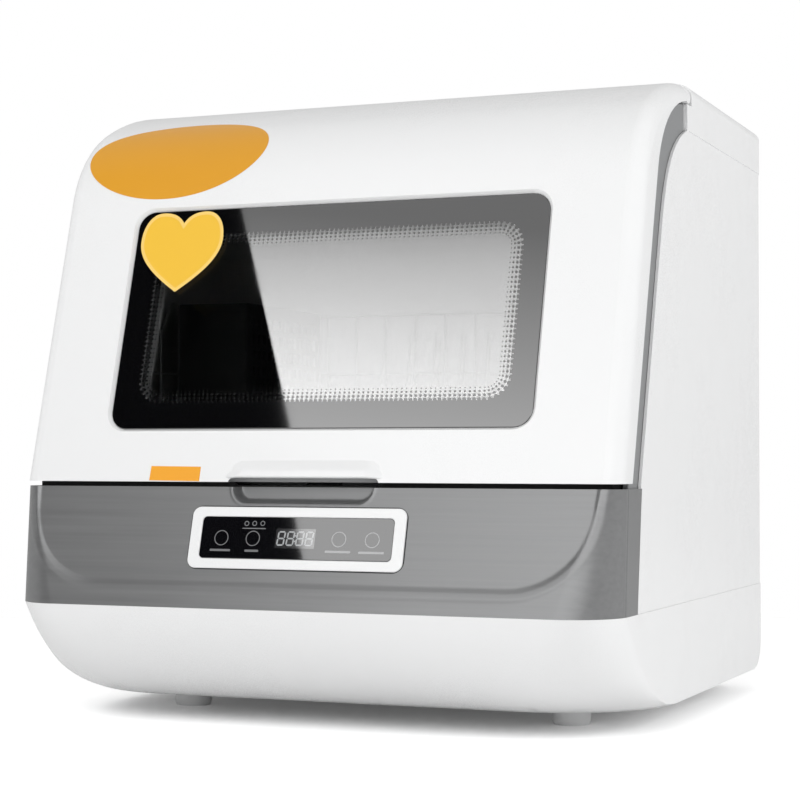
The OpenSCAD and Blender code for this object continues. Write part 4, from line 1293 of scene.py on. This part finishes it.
@dataclass
class Cabinet:
    """The case, its inside and the water parts that show."""

    parts: tuple[Dressed, ...] = (
        Dressed("base_tray", Finish.WHITE, 32.0, 0.0, toe_corner),
        Dressed("control_bezel", Finish.WHITE, 30.0, 0.5),
        *Dressed.many("side_panel_left side_panel_right", Finish.WHITE, 30.0, 0.15),
        Dressed("rear_panel", Finish.WHITE, 30.0, 0.3),
        Dressed("top_cover", Finish.WHITE, 30.0, 0.5),
        Dressed("opening_frame", Finish.FRAME, 30.0, 0.5),
        Dressed("tub", Finish.TUB),
        Dressed("tub_gasket", Finish.RUBBER, 30.0, 0.8),
        Dressed("fill_funnel", Finish.MOULDED),
        Dressed("basket_rails", Finish.MOULDED, 30.0, 0.3),
        Dressed("filter_plate", Finish.STEEL),
        *Dressed.many("spray_pivot inlet_valve drain_spigot", Finish.MOULDED),
        Dressed("cord_gland", Finish.BLACK),
        *Dressed.many("hinge_bracket_left hinge_bracket_right", Finish.STEEL),
        Dressed("hinge_damper", Finish.BLACK),
        Dressed("latch_catch", Finish.BLACK, 30.0, 0.2),
        *Dressed.many("foot_front_left foot_front_right foot_rear_left foot_rear_right",
                      Finish.FOOT, 30.0, 0.3))

    def build(self) -> None:
        """Dresses every part."""
        for part in self.parts:
            part.build(CASE)


@dataclass
class Door:
    """The door's skin, liner and arms."""

    parts: tuple[Dressed, ...] = (
        # The finger scoop's faces get a darker grey as painted shade in the recess.
        Dressed("door_shell", Finish.WHITE, 24.0, 0.0, door_edge, (Finish.GRIP, in_scoop)),
        Dressed("door_liner", Finish.WHITE_INNER, 30.0, 0.4, door_edge),
        Dressed("window_spacer", Finish.BLACK),
        Dressed("inner_glass", Finish.INNER_GLASS),
        *Dressed.many("hinge_arm_left hinge_arm_right hinge_pins", Finish.STEEL),
        Dressed("latch_tongue", Finish.BLACK, 30.0, 0.2))

    def build(self) -> None:
        """Dresses every part, then the window and the stickers."""
        for part in self.parts:
            part.build(DOOR)
        Window().build()
        Stickers().build()


@dataclass
class Loose:
    """Single parts with bodies of their own.

    Attributes:
        parts: Each part and its body.
    """

    parts: tuple[tuple[Dressed, str], ...] = (
        (Dressed("cutlery_box", Finish.CUTLERY), BASKET),
        (Dressed("spray_arm", Finish.MOULDED, 30.0, 0.4), "spray"),
        (Dressed("spray_hub_nut", Finish.BLACK), "spray"),
        (Dressed("filter_cylinder", Finish.MOULDED), "filter"),
        (Dressed("fill_lid", Finish.WHITE), "fill_cap"))

    def build(self) -> None:
        """Dresses every part."""
        for part, body in self.parts:
            part.build(body)


HIDDEN = {Finish.BLACK: ("display_module", "wash_pump", "drain_pump", "drying_fan"),
          Finish.BOARD: ("touch_board", "power_board"),
          Finish.RUBBER: ("wash_hose", "drain_hose", "fill_hose", "tank_hose"),
          Finish.STEEL: ("flow_heater",),
          Finish.MOULDED: ("sump", "water_tank", "air_duct")}


def dress_hidden() -> None:
    """Gives the CAD nodes that stay their materials."""
    for finish, names in HIDDEN.items():
        for name in names:
            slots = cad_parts[name].data.materials
            slots.clear()
            slots.append(PALETTE[finish])
            LOG.info("node %s: %s", name, finish.name)


# ---------------------------------------------------------------- studio

PURE = (1.0, 1.0, 1.0, 1.0)
PIXELS = 800.0


@dataclass
class Studio:
    """Camera, floor, world and lamps.

    Attributes:
        eye: Camera position in metres.
        yaw: Its heading, in degrees.
        pitch: Its tilt down, in degrees.
        roll: Its roll, in degrees.
        focal: Focal length in pixels of an 800-pixel frame.
        sky: Strength of the world's light.
        far: Distance from the window at which the reflected cards stand, in metres.
    """

    eye: Point3 = (0.5610, -1.4080, 0.1789)
    yaw: float = 22.195
    pitch: float = -1.717
    roll: float = 0.089
    focal: float = 2029.76
    sky: float = 0.56
    far: float = 1.6

    def axes(self) -> tuple[Vector, Vector, Vector]:
        """The camera's right, up and forward directions."""
        yaw, pitch, roll = (math.radians(v) for v in (self.yaw, self.pitch, self.roll))
        ahead = Vector((-math.sin(yaw) * math.cos(pitch), math.cos(yaw) * math.cos(pitch), -math.sin(pitch)))
        right = Vector((math.cos(yaw), math.sin(yaw), 0.0))
        up = right.cross(ahead)
        turned = right * math.cos(roll) + up * math.sin(roll)
        return turned, up * math.cos(roll) - right * math.sin(roll), ahead

    def camera(self) -> None:
        """Sets the camera."""
        right, up, ahead = self.axes()
        data = bpy.data.cameras.new("camera")
        data.lens = self.focal * data.sensor_width / PIXELS
        data.clip_end = 100.0
        made = put("camera", data)
        made.matrix_world = Matrix.Translation(self.eye) @ Matrix((right, up, -ahead)).transposed().to_4x4()
        bpy.context.scene.camera = made

    def ray(self, u: float, v: float) -> Vector:
        """Direction through a pixel of the 800-pixel frame."""
        right, up, ahead = self.axes()
        across, down = ((value - PIXELS / 2) / self.focal for value in (u, v))
        return (ahead + right * across - up * down).normalized()

    def mirrored(self, u: float, v: float) -> Vector:
        """Point that the window shows at a pixel by reflection."""
        place = LINE.on_glass()
        normal = (place.to_3x3() @ Vector((0, 0, 1))).normalized()
        origin = place @ Vector((0, 0, -LINE.glass_sink))
        eye, ray = Vector(self.eye), self.ray(u, v)
        hit = eye + ray * ((origin - eye).dot(normal) / ray.dot(normal))
        return hit + (ray - 2 * ray.dot(normal) * normal) * self.far

    def world(self) -> None:
        """Sets a plain world that is full white to the camera and through glass, and dimmer as a light."""
        world = bpy.data.worlds.new("world")
        world.use_nodes = True
        tree = Tree(world.node_tree)
        path = tree.node("ShaderNodeLightPath").outputs
        seen = tree.node("ShaderNodeMath", {"operation": "MAXIMUM"},
                         i0=path["Is Camera Ray"], i1=path["Is Transmission Ray"])
        dim, full = (tree.node("ShaderNodeBackground", Strength=level, Color=PURE)
                     for level in (self.sky, 1.0))
        tree.node("ShaderNodeOutputWorld", Surface=tree.node("ShaderNodeMixShader", i0=seen, i1=dim, i2=full))
        bpy.context.scene.world = world

    def floor(self) -> None:
        """Lays a pale floor that keeps the machine's shadow and fades out away from it."""
        mesh = bpy.data.meshes.new("floor")
        r = 9.0
        mesh.from_pydata([(-r, -r, 0), (r, -r, 0), (r, r, 0), (-r, r, 0)], [], [(0, 1, 2, 3)])
        graph = Graph("floor_paper")
        x, y, _ = graph.axes()
        away = (x * x + y * y).power(0.5).clipped(0.45, 1.0)
        matte = graph.node("ShaderNodeBsdfDiffuse", Color=(0.97, 0.97, 0.97, 1.0))
        seen = graph.node("ShaderNodeBsdfDiffuse", Color=(1.4, 1.4, 1.4, 1.0))
        glow = graph.node("ShaderNodeEmission", Color=PURE, Strength=0.06)
        paper = graph.node("ShaderNodeAddShader", i0=seen, i1=glow)
        clear = graph.node("ShaderNodeBsdfTransparent")
        faded = graph.node("ShaderNodeMixShader", i0=away, i1=paper, i2=clear)
        camera = graph.node("ShaderNodeLightPath").outputs["Is Camera Ray"]
        mesh.materials.append(graph.close(graph.node("ShaderNodeMixShader", i0=camera, i1=matte, i2=faded)))
        put("floor", mesh)

    def lamp(self, name: str, at: Point3, to: Point3, size: Point, power: float) -> None:
        """Hangs a soft rectangular lamp of a size in metres and a power in watts, facing a point.

        Reflections don't show it.
        """
        data = bpy.data.lights.new(name, "AREA")
        data.shape = "RECTANGLE"
        data.size, data.size_y = size
        data.energy = power
        made = put(name, data)
        aim = (Vector(to) - Vector(at)).to_track_quat("-Z", "Y").to_matrix().to_4x4()
        made.matrix_world = Matrix.Translation(at) @ aim
        made.visible_glossy = False

    def card(self, name: str, rows: Sequence[tuple[Vector, Vector]], glow: float, dim: float = 1.0,
             levels: Point = (0.0, 1.0)) -> None:
        """Stands a card that only reflections and light see.

        Args:
            name: Its name.
            rows: Its two side points at each height.
            glow: Its brightness, or zero for a black card.
            dim: Share of it that is left at the upper level.
            levels: Heights between which it dims.
        """
        mesh = bpy.data.meshes.new(name)
        faces = [(2 * i, 2 * i + 1, 2 * i + 3, 2 * i + 2) for i in range(len(rows) - 1)]
        mesh.from_pydata([tuple(p) for row in rows for p in row], [], faces)
        graph = Graph(f"{name}_paper")
        shade = graph.tint(graph.axes()[2].clipped(*levels), (1.0, 1.0, 1.0), (dim, dim, dim))
        mesh.materials.append(graph.close(graph.node("ShaderNodeEmission", Color=shade, Strength=glow)))
        card = put(name, mesh)
        card.visible_camera = False
        card.visible_shadow = False
        card.visible_diffuse = glow > 0

    def build(self) -> None:
        """Builds the whole studio."""
        scene = bpy.context.scene
        scene.view_settings.view_transform = "Standard"
        self.camera()
        self.world()
        self.floor()
        top, low, panel, end = (self.mirrored(*at) for at in ((241, 207), (290, 427), (296, 517), (304, 562)))
        edge = (low - top) * 4.0
        line = [top - edge * 0.75, top, low, panel, end, end + (end - panel) * 6.0]
        side = (self.mirrored(700, 300) - self.mirrored(241, 300)).normalized()
        bright, dark = 2.2, 1.5
        self.card("softbox", [(p, p + side * bright) for p in line], 2.35, 0.36, (low.z, top.z))
        self.card("flag", [(p - side * dark, p) for p in line], 0.0)
        for lamp in (("key", (-1.3, -1.7, 1.7), (0, 0, 0.2), (1.2, 1.2), 11.0),
                     ("side", (2.2, 0.1, 0.9), (0, 0, 0.2), (1.2, 1.2), 18.0),
                     ("low", (0.3, -1.6, 0.06), (0, 0, 0.03), (1.4, 0.1), 1.2)):
            self.lamp(*lamp)


def fasteners() -> None:
    """Sets the screws of the rear panel and of the door's rims, which lean as the front does."""
    upright, rear_y, foot_y, foot_z, sunk = -math.pi / 2, 211.4, -187.0, 120.0, 1.2
    grid = [(x, z) for x in (-192, 192) for z in (100, 250, 396)] + [(x, 402) for x in (-100, 0, 100)]
    rear = [(Vector((x, rear_y, z)) * MM, upright, 0.4 * i) for i, (x, z) in enumerate(grid)]
    Screws().build("rear_screws", rear, "case_screws", CASE)
    rise = 76.4 / 251.0
    tilt = math.atan(rise)
    rim = [(Vector((x, foot_y + (z - foot_z) * rise - sunk * math.cos(tilt), z + sunk * math.sin(tilt))) * MM,
            upright - tilt, 0.3 * z) for x in (-203.0, 203.0) for z in (185.0, 245.0, 305.0, 365.0)]
    Screws(3.0, 1.4).build("door_rim_screws", rim, "door_screws", DOOR)


def main() -> None:
    """Builds the pieces in order."""
    logging.basicConfig(level=logging.INFO, format="%(message)s")
    for part in (Studio(), Cabinet(), Door(), Band(), Controls(), Basket(), Loose()):
        part.build()
    fasteners()
    dress_hidden()


if __name__ == "__main__":
    main()
